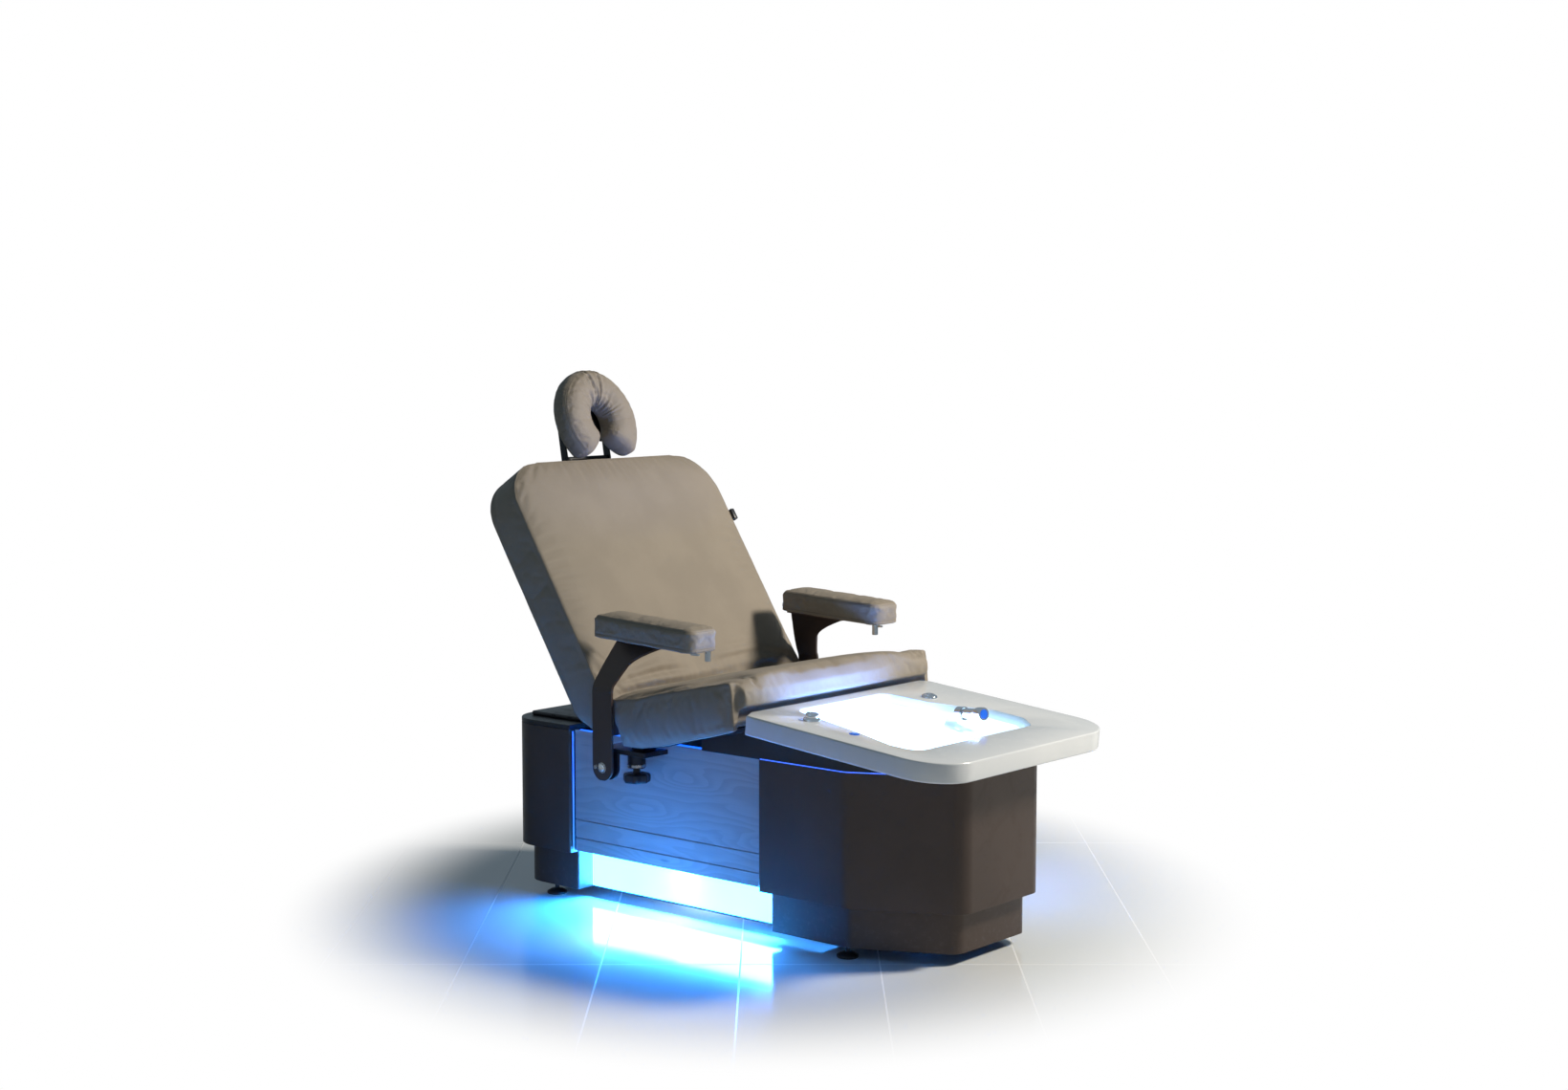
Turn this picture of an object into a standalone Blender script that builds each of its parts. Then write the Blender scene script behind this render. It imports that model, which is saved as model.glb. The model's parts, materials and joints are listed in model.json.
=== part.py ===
"""Pedicure spa chair: lifting base, tilting seat, reclining back, armrests, face cradle and foot basin.

Metres, +Z up. +X points from the backrest to the foot basin and -Y is the sitter's right.
The root empty puts the middle of the chair's length at X = 0 and the floor at Z = 0; every size
below is measured from the rear edge of the front pedestal, which is X = 0 of the build frame.
"""
import math

import bmesh
import bpy
from mathutils import Matrix, Vector

# ---------------------------------------------------------------- driving dimensions
SEAT_GAP = 0.0003            # clearance between pieces that touch
RUN_GAP = 0.0008             # clearance of sliding sleeves
SHEET = 0.003                # folded steel of the pedestals
TUBE_WALL = 0.003            # rectangular tubes of the chassis and carriage
SMALL_BEND = 0.006           # bend where a pedestal's wall is folded in
OVERRUN = 0.010              # how far cutters run past what they cut
WELD_DEPTH = 0.001           # how far welded pieces reach into each other

# pedestals
SHELL_HALF_WIDTH = 0.3127
SHELL_BOTTOM = 0.1417
SHELL_TOP = 0.4973
PLINTH_INSET = 0.032         # plinth lies this far inside the shell
PLINTH_BOTTOM = 0.030
PLINTH_TOP = 0.428
FRONT_LENGTH = 0.5736        # front pedestal, X from 0
CHAMFER_START = 0.285        # plinth side ends here
CHAMFER_HALF_FRONT = 0.150   # plinth front face half width
FRONT_PLINTH_SETBACK = 0.018
BEND_RADIUS = 0.040
SHELL_BEND = BEND_RADIUS + PLINTH_INSET / 2.0
REAR_NEAR_X = -0.711         # rear pedestal, front edge
REAR_FAR_X = -0.967          # rear pedestal, back face
REAR_CORNER = 0.100
SHELL_RETURN = 0.030         # folded-in edge of a shell
CAP_HEIGHT = 0.0145
COVER_FRONT_X = -0.660
COVER_BACK_X = -0.930
COVER_HALF_WIDTH = SHELL_HALF_WIDTH - 0.0627
COVER_TOP = 0.524

# side panels and light
PANEL_SETBACK = 0.0197       # from the shells' faces
PANEL_FACE = SHELL_HALF_WIDTH - PANEL_SETBACK
PANEL_THICKNESS = 0.012
PANEL_BOTTOM = 0.147
PANEL_GROOVES = (0.186, 0.239)
GROOVE_WIDTH = 0.004
GROOVE_DEPTH = 0.003
LED_SETBACK = 0.069          # from the side panels' faces
LED_FACE = PANEL_FACE - LED_SETBACK
LED_THICKNESS = 0.006
PLINTH_RETURN_Y = LED_FACE - LED_THICKNESS   # the plinths' folded-in edges reach the chassis rails
LED_BOTTOM = 0.034
LED_TOP = 0.136

# chassis, columns and carriage rails
CHASSIS_WIDTH = 0.040
CHASSIS_BOTTOM = 0.034
CHASSIS_TOP = 0.130
CHASSIS_FRONT_X = 0.390
CHASSIS_BACK_X = -0.925
COLUMN_X = (0.190, -0.835)
COLUMN_HALF = 0.050
COLUMN_WALL = 0.005
COLUMN_TOP = 0.350
COLUMN_FLANGE = 0.008
COLUMN_FLANGE_HALF = 0.085
LIFT_TOP_PLATE = 0.010
RAIL_BOTTOM = 0.389
RAIL_TOP = 0.4397
RAIL_SETBACK = 0.019         # from the diffusers' faces
RAIL_OUTER = LED_FACE - RAIL_SETBACK
RAIL_WIDTH = 0.040
RAIL_FRONT_X = 0.300
RAIL_BACK_X = -0.915
POST_LENGTH = 0.040
LUG_THICKNESS = 0.010        # plates on the rails that carry the seat's hinge
LUG_HALF_LENGTH = 0.030
LUG_BOTTOM = 0.409

# levelling feet
FOOT_REAR_X = -0.818
FOOT_FRONT_X = 0.265
FOOT_SETBACK = 0.0507        # from the shells' faces
FOOT_Y = SHELL_HALF_WIDTH - FOOT_SETBACK
FOOT_RADIUS = 0.029
FOOT_DISC = 0.010
FOOT_STEM = 0.006
FOOT_TAB = 0.006
INLET_HALF_WIDTH = 0.016
INLET_HALF_HEIGHT = 0.024
INLET_DEPTH = 0.016
INLET_WALL = 0.003

# foot basin: a slab with a tub, in slab coordinates s (down the slope), y and h (square to the slab)
SLAB_X = 0.0153
SLAB_Z = 0.6328
SLAB_TILT = math.radians(5.75)
SLAB_LENGTH = 0.6575
SLAB_OVERHANG = 0.0873       # beyond the shells' sides; the seat and the armrests follow it
SLAB_HALF_WIDTH = SHELL_HALF_WIDTH + SLAB_OVERHANG
SLAB_THICKNESS = 0.0533
SLAB_FRONT_CORNER = 0.130
SLAB_BACK_CORNER = 0.020
SLAB_EDGE = 0.004
TUB_WALL = 0.008
TUB_CLEARANCE = 0.002        # between the tub and the skirt
TUB_FLOOR_Z = 0.452
TUB_CENTRE = (0.265, -0.060)
SHELF_DEPTH = 0.022
OPENING = (
    (0.050, -0.235, 0.040), (0.300, -0.281, 0.100), (0.430, -0.318, 0.060), (0.512, -0.310, 0.050),
    (0.512, 0.195, 0.030), (0.450, 0.252, 0.050), (0.345, 0.255, 0.030), (0.190, 0.168, 0.060),
    (0.050, 0.150, 0.040),
)
BOWL = (
    (0.060, -0.225, 0.040), (0.300, -0.270, 0.100), (0.430, -0.306, 0.060), (0.500, -0.298, 0.050),
    (0.500, 0.010, 0.040), (0.330, 0.060, 0.040), (0.270, 0.150, 0.030), (0.190, 0.156, 0.060),
    (0.060, 0.140, 0.040),
)
DRAIN = (0.300, -0.080)
DRAIN_RADIUS = 0.024
MIXER = (0.150, -0.288)
MIXER_RADIUS = 0.023
MIXER_KNOB_RADIUS = 0.018
BUTTON = (0.151, 0.224)
BUTTON_BEZEL_RADIUS = 0.0225
BUTTON_RADIUS = 0.0140
BLUE_BUTTON = (0.309, -0.309)
BLUE_BUTTON_RADIUS = 0.0140
BUTTON_DEPTH = 0.018
BLUE_BUTTON_DEPTH = 0.014
BUTTON_TRAVEL = 0.004
COLLAR_HEIGHT = 0.009
MIXER_STEM = 0.010
MIXER_DEPTH = 0.016
JET = (0.200, -0.045)        # s and h of the jet in the right wall
JET_RADIUS = 0.015
JET_SLOPE = math.radians(31.0)
SHOWER_BACK = (0.326, 0.120, 0.004)
SHOWER_TIP = (0.428, 0.092, 0.026)
SHOWER_RADIUS = 0.0140
SHOWER_HEAD_RADIUS = 0.0180
HOLDER_START = 0.002
HOLDER_END = 0.026
HOLDER_WALL = 0.0035
HOLDER_POST = 0.009

# skirt under the slab
SKIRT_THICKNESS = 0.020
SKIRT_BACK_X = -0.205
SKIRT_LAP = 0.020            # reaches this far down inside the front shell

# seat
SEAT_CHEEK_GAP = 0.0035      # between the slab's side and the seat's cheeks
SEAT_CHEEK = 0.027           # width of a cheek beside the slab
SEAT_HALF_WIDTH = SLAB_HALF_WIDTH + SEAT_CHEEK_GAP + SEAT_CHEEK
SEAT_BOTTOM = ((-0.392, 0.500), (-0.330, 0.500), (-0.250, 0.5145), (-0.010, 0.577))
SEAT_TOP = ((0.000, 0.720), (-0.142, 0.688), (-0.281, 0.655), (-0.352, 0.639), (-0.400, 0.634))
SEAT_REAR_TOP = (-0.447, 0.631)
SEAT_FRONT_X = 0.038
SEAT_CROWN = 0.012
SEAT_DRAW_IN = 0.005         # seams of the cushion's ends
SEAT_NOTCH_GAP = 0.012       # cushion's underside over the slab
SEAT_CHEEK_FRONT = ((0.019, 0.592), (0.017, 0.607), (0.013, 0.640), (0.008, 0.695))
BOARD_THICKNESS = 0.012
BOARD_HALF_WIDTH = SLAB_HALF_WIDTH - 0.006
BOARD_MARGIN = 0.001
SEAT_STATIONS = (0.863, 0.660, 0.431, 0.216)   # sections between the board's edge and its middle

# backrest, in back coordinates y, u (up the back from its front lower edge) and m (forward of its face)
RECLINE = math.radians(32.5)
BACK_X = -0.4507
BACK_Z = 0.6136
BACK_LENGTH = 0.769
BACK_HALF_WIDTH = SEAT_HALF_WIDTH - 0.0005
BACK_TOP_CORNER = 0.140
BACK_LOW_CORNER = 0.030
BACK_THICKNESS = 0.140
BACK_CROWN = 0.010
BACK_HEEL = ((0.000, 0.000), (-0.028, -0.064), (-0.0745, -0.081), (-0.0934, -0.055), (-0.125, 0.000),
             (-0.140, 0.027))
BACK_BOARD_THICKNESS = 0.010
BACK_BOARD_INSET = 0.035
CLIP_U = BACK_LENGTH - 0.224
CLIP_M = -0.010
CLIP_SIZE = (0.016, 0.035, 0.018)

# hinges between seat, back and carriage
TILT_X = -0.410
TILT_Z = 0.487
HINGE_X = -0.490
HINGE_Z = 0.530
PIN_RADIUS = 0.008
EAR_RADIUS = 0.017
EAR_THICKNESS = 0.008

# armrests
ARM_PIVOT_X = -0.4495
ARM_PIVOT_Z = 0.440
ARM_PLATE = 0.008
ARM_CLEARANCE = 0.0065       # between the seat's side and the bracket
ARM_PLATE_INNER = SEAT_HALF_WIDTH + ARM_CLEARANCE
ARM_HALF_WIDTH = 0.0365
ARM_BEND_Z = 0.648
ARM_BEND_RADIUS = 0.040
ARM_LEAN = math.radians(28.7)
PAD_BACK_X = -0.470
PAD_LENGTH = 0.360
PAD_INNER = SEAT_HALF_WIDTH - 0.0935
PAD_WIDTH = 0.119
PAD_TOP_Z = 0.861
PAD_THICKNESS = 0.060
PAD_TILT = math.radians(2.85)
PAD_CROWN = 0.004
PAD_FRONT_CORNER = 0.030
PAD_BACK_CORNER = 0.012
SOCKET_RADIUS = 0.0085
SOCKET_BORE = 0.0055
SOCKET_LENGTH = 0.030
SOCKET_FROM_FRONT = 0.012
SOCKET_Y = PAD_INNER + 0.025
SCREW_Y = PAD_INNER + 0.059
SCREW_LENGTH = 0.014
FLANGE_THICKNESS = 0.005
# up the leaning part of the bracket: share of its height, inset of its back edge, flare of its front edge
ARM_FLARE = ((0.12, 0.002, 0.006), (0.30, 0.007, 0.016), (0.48, 0.013, 0.027), (0.58, 0.017, 0.040),
             (0.68, 0.021, 0.060), (0.78, 0.025, 0.085), (0.89, 0.029, 0.118), (1.0, 0.034, 0.155))
ARM_BOLT_RADIUS = 0.006
ARM_BOLT_HEAD = 0.011
MOUNT_INNER = ARM_PLATE_INNER - 0.107
MOUNT_BLOCK = 0.050          # width of the clamp block on the bar
MOUNT_BAR_BOTTOM = 0.479
MOUNT_BAR_TOP = 0.4917
MOUNT_BAR_FRONT_X = -0.310
MOUNT_TONGUE = 0.008
MOUNT_SPACER = 0.0165        # from the tongue to the bracket's plate
MOUNT_BOSS = 0.015
CLAMP_X = -0.400
CLAMP_Y = MOUNT_INNER + 0.030
CLAMP_RADIUS = 0.025
CLAMP_BOTTOM = 0.435
KNOB_RADIUS = 0.040
KNOB_TOP = 0.420
KNOB_BOTTOM = 0.394
KNOB_LOBES = 7
KNOB_STEM = 0.010

# face cradle, in cradle coordinates y, v (up its face) and m (forward of its face)
CRADLE_U = BACK_LENGTH + 0.1022   # its middle, in back coordinates
CRADLE_M = 0.0582
CRADLE_LEAN = math.radians(22.0)
CRADLE_HALF_WIDTH = 0.0910   # centre line of the horseshoe
CRADLE_RISE = 0.1020
CRADLE_PAD_HALF = 0.0520
CRADLE_THICKNESS = 0.076
CRADLE_SWEEP = math.radians(132.5)
CRADLE_PLEAT = math.radians(9.0)
PLATFORM_THICKNESS = 0.008
CRADLE_PIVOT_V = 0.058
CRADLE_PIVOT_M = -0.0900
PLATFORM_HALF_WIDTH = 0.086
ROD_Y = 0.070
ROD_RADIUS = 0.006
ROD_M = -0.075
ROD_BOTTOM_U = BACK_LENGTH - 0.269
CROSSBAR_U = BACK_LENGTH + 0.0367
CROSSBAR_RADIUS = 0.007
LINK_THICKNESS = 0.006
LINK_HALF_WIDTH = 0.009
LINK_PIN_RADIUS = 0.004

SIDES = (("right", -1.0), ("left", 1.0))


# ---------------------------------------------------------------- plane geometry
def arc_points(centre, radius, start, end, steps):
    """Points of an arc about centre, angles in radians."""
    return [(centre[0] + radius * math.cos(start + (end - start) * i / steps),
             centre[1] + radius * math.sin(start + (end - start) * i / steps))
            for i in range(steps + 1)]


def circle_points(centre, radius, count):
    """Points of a full circle."""
    return arc_points(centre, radius, 0.0, 2.0 * math.pi * (count - 1) / count, count - 1)


def fillet(before, corner, after, radius, steps):
    """The arc that rounds one corner of an outline."""
    corner = Vector(corner)
    back = (Vector(before) - corner)
    ahead = (Vector(after) - corner)
    half = back.angle(ahead) / 2.0
    reach = min(radius / math.tan(half), 0.49 * back.length, 0.49 * ahead.length)
    radius = reach * math.tan(half)
    if radius < 1e-5 or half > math.radians(89.5):
        return [tuple(corner)]
    bisector = (back.normalized() + ahead.normalized()).normalized()
    centre = corner + bisector * (radius / math.sin(half))
    first = corner + back.normalized() * reach - centre
    last = corner + ahead.normalized() * reach - centre
    turn = first.angle_signed(last)
    points = []
    for i in range(steps + 1):
        angle = -turn * i / steps
        spun = Vector((first.x * math.cos(angle) - first.y * math.sin(angle),
                       first.x * math.sin(angle) + first.y * math.cos(angle)))
        points.append(tuple(centre + spun))
    return points


def rounded(points, radii, steps=5):
    """A closed outline with its corners rounded."""
    count = len(points)
    outline = []
    for i in range(count):
        outline += fillet(points[i - 1], points[i], points[(i + 1) % count], radii[i], steps)
    return outline


def rounded_path(points, radii, steps=5):
    """An open path with its inner corners rounded."""
    path = [points[0]]
    for i in range(1, len(points) - 1):
        path += fillet(points[i - 1], points[i], points[i + 1], radii[i], steps)
    return path + [points[-1]]


def offset_path(points, distance):
    """An open path moved to its left by distance, with mitred corners."""
    normals = []
    for a, b in zip(points, points[1:]):
        step = (Vector(b) - Vector(a)).normalized()
        normals.append(Vector((-step.y, step.x)))
    moved = [tuple(Vector(points[0]) + normals[0] * distance)]
    for i in range(1, len(points) - 1):
        mitre = (normals[i - 1] + normals[i]).normalized()
        length = distance / mitre.dot(normals[i])
        moved.append(tuple(Vector(points[i]) + mitre * length))
    moved.append(tuple(Vector(points[-1]) + normals[-1] * distance))
    return moved


def folded_sheet(points, radii, thickness):
    """Outline of a sheet folded along a path, its thickness to the path's left."""
    inner_radii = [max(radius - thickness, 0.001) if radius else 0.0 for radius in radii]
    outer = rounded_path(points, radii)
    inner = rounded_path(offset_path(points, thickness), inner_radii)
    return outer + inner[::-1]


def mirrored(points):
    """A path followed by its mirror image in Y, end to end."""
    return list(points) + [(x, -y) for x, y in reversed(points)]


def hull_outline(points):
    """Convex outline round a set of points."""
    ordered = sorted(set((round(a, 7), round(b, 7)) for a, b in points))

    def chain(sequence):
        line = []
        for point in sequence:
            while len(line) > 1:
                ax, ay = line[-1][0] - line[-2][0], line[-1][1] - line[-2][1]
                bx, by = point[0] - line[-2][0], point[1] - line[-2][1]
                if ax * by - ay * bx > 0.0:
                    break
                line.pop()
            line.append(point)
        return line[:-1]

    return chain(ordered) + chain(ordered[::-1])


def height_on(line, x):
    """Height of a polyline of (x, z) points at x, running on straight past its ends."""
    ordered = sorted(line)
    for a, b in zip(ordered, ordered[1:]):
        if x <= b[0] or b is ordered[-1]:
            return a[1] + (b[1] - a[1]) * (x - a[0]) / (b[0] - a[0])
    return ordered[-1][1]


def ray_length(outline, centre, angle):
    """Distance from centre to an outline that it sees whole, in one direction."""
    dx, dy = math.cos(angle), math.sin(angle)
    best = 0.0
    for a, b in zip(outline, outline[1:] + outline[:1]):
        ax, ay = a[0] - centre[0], a[1] - centre[1]
        ex, ey = b[0] - a[0], b[1] - a[1]
        cross = dx * ey - dy * ex
        if abs(cross) < 1e-12:
            continue
        along = (ax * ey - ay * ex) / cross
        share = (ax * dy - ay * dx) / cross
        if along > 0.0 and -1e-9 <= share <= 1.0 + 1e-9:
            best = max(best, along)
    return best


# ---------------------------------------------------------------- frames of the tilted parts
def slab_point(s, y, h):
    """Slab coordinates to the build frame."""
    return Vector((SLAB_X + s * math.cos(SLAB_TILT) + h * math.sin(SLAB_TILT), y,
                   SLAB_Z - s * math.sin(SLAB_TILT) + h * math.cos(SLAB_TILT)))


def slab_height_at(s, z):
    """The h that lies at height z on the line s of the slab."""
    return (z - SLAB_Z + s * math.sin(SLAB_TILT)) / math.cos(SLAB_TILT)


def back_point(y, u, m):
    """Back coordinates to the build frame."""
    return Vector((BACK_X - u * math.sin(RECLINE) + m * math.cos(RECLINE), y,
                   BACK_Z + u * math.cos(RECLINE) + m * math.sin(RECLINE)))


def cradle_point(y, v, m):
    """Cradle coordinates to the build frame."""
    origin = back_point(0.0, CRADLE_U, CRADLE_M)
    return Vector((origin.x - v * math.sin(CRADLE_LEAN) + m * math.cos(CRADLE_LEAN), y,
                   origin.z + v * math.cos(CRADLE_LEAN) + m * math.sin(CRADLE_LEAN)))


def flat(point):
    """The X and Z of a point."""
    return (point.x, point.z)


SLAB_UP = Vector((math.sin(SLAB_TILT), 0.0, math.cos(SLAB_TILT)))
BACK_UP = Vector((-math.sin(RECLINE), 0.0, math.cos(RECLINE)))
BACK_OUT = Vector((math.cos(RECLINE), 0.0, math.sin(RECLINE)))
MIDDLE_X = (slab_point(SLAB_LENGTH, 0.0, 0.0).x
            + cradle_point(0.0, CRADLE_RISE + CRADLE_PAD_HALF, -CRADLE_THICKNESS).x) / 2.0


# ---------------------------------------------------------------- solids
def loft(rings, ring_loop=False):
    """A closed body through rings of equally many points; ring_loop joins the last to the first."""
    bm = bmesh.new()
    rows = [[bm.verts.new(point) for point in ring] for ring in rings]
    pairs = list(zip(rows, rows[1:]))
    if ring_loop:
        pairs.append((rows[-1], rows[0]))
    for low, high in pairs:
        for i in range(len(low)):
            j = (i + 1) % len(low)
            bm.faces.new((low[i], low[j], high[j], high[i]))
    if not ring_loop:
        bm.faces.new(rows[0])
        bm.faces.new(rows[-1])
    bmesh.ops.recalc_face_normals(bm, faces=bm.faces)
    return bm


def prism(outline, axis, low, high):
    """An outline pushed along an axis: (y, z) along X, (x, z) along Y or (x, y) along Z."""
    def place(a, b, depth):
        return {"X": (depth, a, b), "Y": (a, depth, b), "Z": (a, b, depth)}[axis]
    return loft([[place(a, b, low) for a, b in outline], [place(a, b, high) for a, b in outline]])


def box(x, y, z):
    """A box from three (low, high) ranges."""
    corners = ((x[0], y[0]), (x[1], y[0]), (x[1], y[1]), (x[0], y[1]))
    return prism(corners, "Z", z[0], z[1])


def turned(profile, base, direction, count=24, ring_loop=False):
    """A profile of (radius, height) points turned about the line from base along direction."""
    spin = Vector((0.0, 0.0, 1.0)).rotation_difference(Vector(direction)).to_matrix()
    rings = []
    for radius, height in profile:
        ring = [Vector((radius * math.cos(2.0 * math.pi * i / count),
                        radius * math.sin(2.0 * math.pi * i / count), height)) for i in range(count)]
        rings.append([Vector(base) + spin @ point for point in ring])
    return loft(rings, ring_loop)


def tube_bore(x, y, z):
    """The bore of a rectangular tube along X that has these outer ranges."""
    return box((x[0] - OVERRUN, x[1] + OVERRUN), (min(y) + TUBE_WALL, max(y) - TUBE_WALL),
               (z[0] + TUBE_WALL, z[1] - TUBE_WALL))


def rod(start, end, radius, count=24):
    """A plain round bar."""
    run = Vector(end) - Vector(start)
    return turned(((radius, 0.0), (radius, run.length)), start, run, count)


# ---------------------------------------------------------------- scene
def clear_scene():
    """Start from an empty scene."""
    for item in list(bpy.data.objects):
        bpy.data.objects.remove(item, do_unlink=True)


def make_material(name, colour, roughness, metallic=0.0):
    """A Principled material."""
    made = bpy.data.materials.new(name)
    made.use_nodes = True
    shader = made.node_tree.nodes["Principled BSDF"]
    shader.inputs["Base Color"].default_value = (*colour, 1.0)
    shader.inputs["Roughness"].default_value = roughness
    shader.inputs["Metallic"].default_value = metallic
    return made


def add_body(name, origin, parent=None):
    """An empty on a body's joint; its pieces and the bodies that it carries are parented to it."""
    empty = bpy.data.objects.new(name + "_axis", None)
    empty.empty_display_size = 0.05
    bpy.context.scene.collection.objects.link(empty)
    empty["origin"] = tuple(origin)
    empty.location = Vector(origin)
    if parent is not None:
        empty.parent = parent
        empty.location = Vector(origin) - Vector(parent["origin"])
    return empty


def add_part(name, bm, material, body, bevel=0.0, smooth=False):
    """A named object made from bm, which is drawn in the build frame."""
    bmesh.ops.translate(bm, verts=bm.verts, vec=-Vector(body["origin"]))
    mesh = bpy.data.meshes.new(name)
    bm.to_mesh(mesh)
    bm.free()
    if smooth:
        mesh.shade_smooth()
        mesh.set_sharp_from_angle(angle=math.radians(35.0))
    mesh.materials.append(material)
    item = bpy.data.objects.new(name, mesh)
    bpy.context.scene.collection.objects.link(item)
    item.parent = body
    if bevel:
        edge = item.modifiers.new("edges", "BEVEL")
        edge.width = bevel
        edge.segments = 2
        edge.limit_method = "ANGLE"
        edge.angle_limit = math.radians(50.0)
    return item


def combine(item, bm, operation):
    """Cut bm out of an object, or weld it on."""
    bmesh.ops.translate(bm, verts=bm.verts, vec=-Vector(item.parent["origin"]))
    count = len(item.modifiers)
    mesh = bpy.data.meshes.new(item.name + "_tool")
    bm.to_mesh(mesh)
    bm.free()
    tool = bpy.data.objects.new("%s_tool_%d" % (item.name, count), mesh)
    bpy.context.scene.collection.objects.link(tool)
    tool.parent = item.parent
    tool.hide_render = True
    tool.display_type = "WIRE"
    change = item.modifiers.new("%s_%d" % (operation.lower(), count), "BOOLEAN")
    change.operation = operation
    change.solver = "EXACT"
    change.object = tool


def cut(item, bm):
    """Cut bm out of an object."""
    combine(item, bm, "DIFFERENCE")


def weld(item, bm):
    """Weld bm onto an object."""
    combine(item, bm, "UNION")


# ---------------------------------------------------------------- base
def plinth_path():
    """Outer face of the front plinth, from its folded-in edge round to the front's middle."""
    side = SHELL_HALF_WIDTH - PLINTH_INSET
    front = FRONT_LENGTH - PLINTH_INSET
    return [(FRONT_PLINTH_SETBACK, -PLINTH_RETURN_Y), (FRONT_PLINTH_SETBACK, -side),
            (CHAMFER_START, -side), (front, -CHAMFER_HALF_FRONT)]


def shell_path(inset=0.0):
    """Outer face of the front shell, inset towards its inside, from its folded-in edge."""
    spread = offset_path(mirrored(plinth_path()[1:]), inset - PLINTH_INSET)
    side = SHELL_HALF_WIDTH - inset
    return [(inset, -side + SHELL_RETURN), (inset, -side), spread[1], spread[2]]


def rear_path(inset, return_y):
    """Outer face of a rear pedestal wall, from its folded-in edge."""
    side = SHELL_HALF_WIDTH - inset
    near = REAR_NEAR_X
    return [(near, return_y), (near, side), (REAR_FAR_X + inset, side)]


def add_plinth(name, outline, foot_x, material, body):
    """A folded plinth wall with a threaded tab for each foot."""
    item = add_part(name, prism(outline, "Z", PLINTH_BOTTOM, PLINTH_TOP), material, body)
    wall = SHELL_HALF_WIDTH - PLINTH_INSET - SHEET
    for _, side in SIDES:
        tab = box((foot_x - 0.020, foot_x + 0.020),
                  sorted((side * (FOOT_Y - 0.016), side * (wall + SHEET / 2.0))),
                  (PLINTH_BOTTOM, PLINTH_BOTTOM + FOOT_TAB))
        weld(item, tab)
        hole = rod((foot_x, side * FOOT_Y, 0.0), (foot_x, side * FOOT_Y, PLINTH_BOTTOM + 0.030),
                   FOOT_STEM + SEAT_GAP, 16)
        cut(item, hole)
    return item


def add_base(body, steel, dark, light, plastic):
    """Plinths, chassis, lights and the fixed halves of the lifting columns."""
    front = mirrored(plinth_path())
    bends = [0.0, SMALL_BEND, BEND_RADIUS, BEND_RADIUS, BEND_RADIUS, BEND_RADIUS, SMALL_BEND, 0.0]
    add_plinth("front_plinth", folded_sheet(front, bends, SHEET), FOOT_FRONT_X, steel, body)
    rear = mirrored(rear_path(PLINTH_INSET, PLINTH_RETURN_Y))
    corner = REAR_CORNER - PLINTH_INSET
    bends = [0.0, SMALL_BEND, corner, corner, SMALL_BEND, 0.0]
    rear_sheet = folded_sheet(rear, bends, SHEET)
    add_plinth("rear_plinth", rear_sheet, FOOT_REAR_X, steel, body)

    outer = LED_FACE - LED_THICKNESS - SEAT_GAP
    for side_name, side in SIDES:
        width = sorted((side * (outer - CHASSIS_WIDTH), side * outer))
        rail = add_part("chassis_rail_" + side_name,
                        box((CHASSIS_BACK_X, CHASSIS_FRONT_X), width, (CHASSIS_BOTTOM, CHASSIS_TOP)),
                        dark, body)
        cut(rail, tube_bore((CHASSIS_BACK_X, CHASSIS_FRONT_X), width, (CHASSIS_BOTTOM, CHASSIS_TOP)))
        span = (REAR_NEAR_X + SEAT_GAP, FRONT_PLINTH_SETBACK - SEAT_GAP)
        panel = box(span, sorted((side * LED_FACE, side * (LED_FACE - LED_THICKNESS))),
                    (LED_BOTTOM, LED_TOP))
        add_part("led_diffuser_" + side_name, panel, light, body, bevel=0.001)

    flange = outer - CHASSIS_WIDTH - SEAT_GAP
    for name, x in zip(("front", "rear"), COLUMN_X):
        span = (x - COLUMN_HALF, x + COLUMN_HALF)
        tube = add_part("lift_column_%s_outer" % name,
                        box(span, (-COLUMN_HALF, COLUMN_HALF), (CHASSIS_BOTTOM, COLUMN_TOP)), dark, body)
        weld(tube, box((x - COLUMN_FLANGE_HALF, x + COLUMN_FLANGE_HALF), (-flange, flange),
                       (CHASSIS_BOTTOM, CHASSIS_BOTTOM + COLUMN_FLANGE)))
        bore = COLUMN_HALF - COLUMN_WALL
        cut(tube, box((x - bore, x + bore), (-bore, bore),
                      (CHASSIS_BOTTOM + COLUMN_FLANGE, COLUMN_TOP + OVERRUN)))

    back = REAR_FAR_X + PLINTH_INSET - SEAT_GAP
    middle = 0.5 * (CHASSIS_BOTTOM + CHASSIS_TOP)
    inlet = add_part("power_inlet", box((back - INLET_DEPTH, back), (-INLET_HALF_WIDTH, INLET_HALF_WIDTH),
                                        (middle - INLET_HALF_HEIGHT, middle + INLET_HALF_HEIGHT)),
                     plastic, body, bevel=0.0015)
    wall = INLET_WALL
    cut(inlet, box((back - INLET_DEPTH - OVERRUN, back - wall),
                   (wall - INLET_HALF_WIDTH, INLET_HALF_WIDTH - wall),
                   (middle - INLET_HALF_HEIGHT + wall, middle + INLET_HALF_HEIGHT - wall)))


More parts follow.
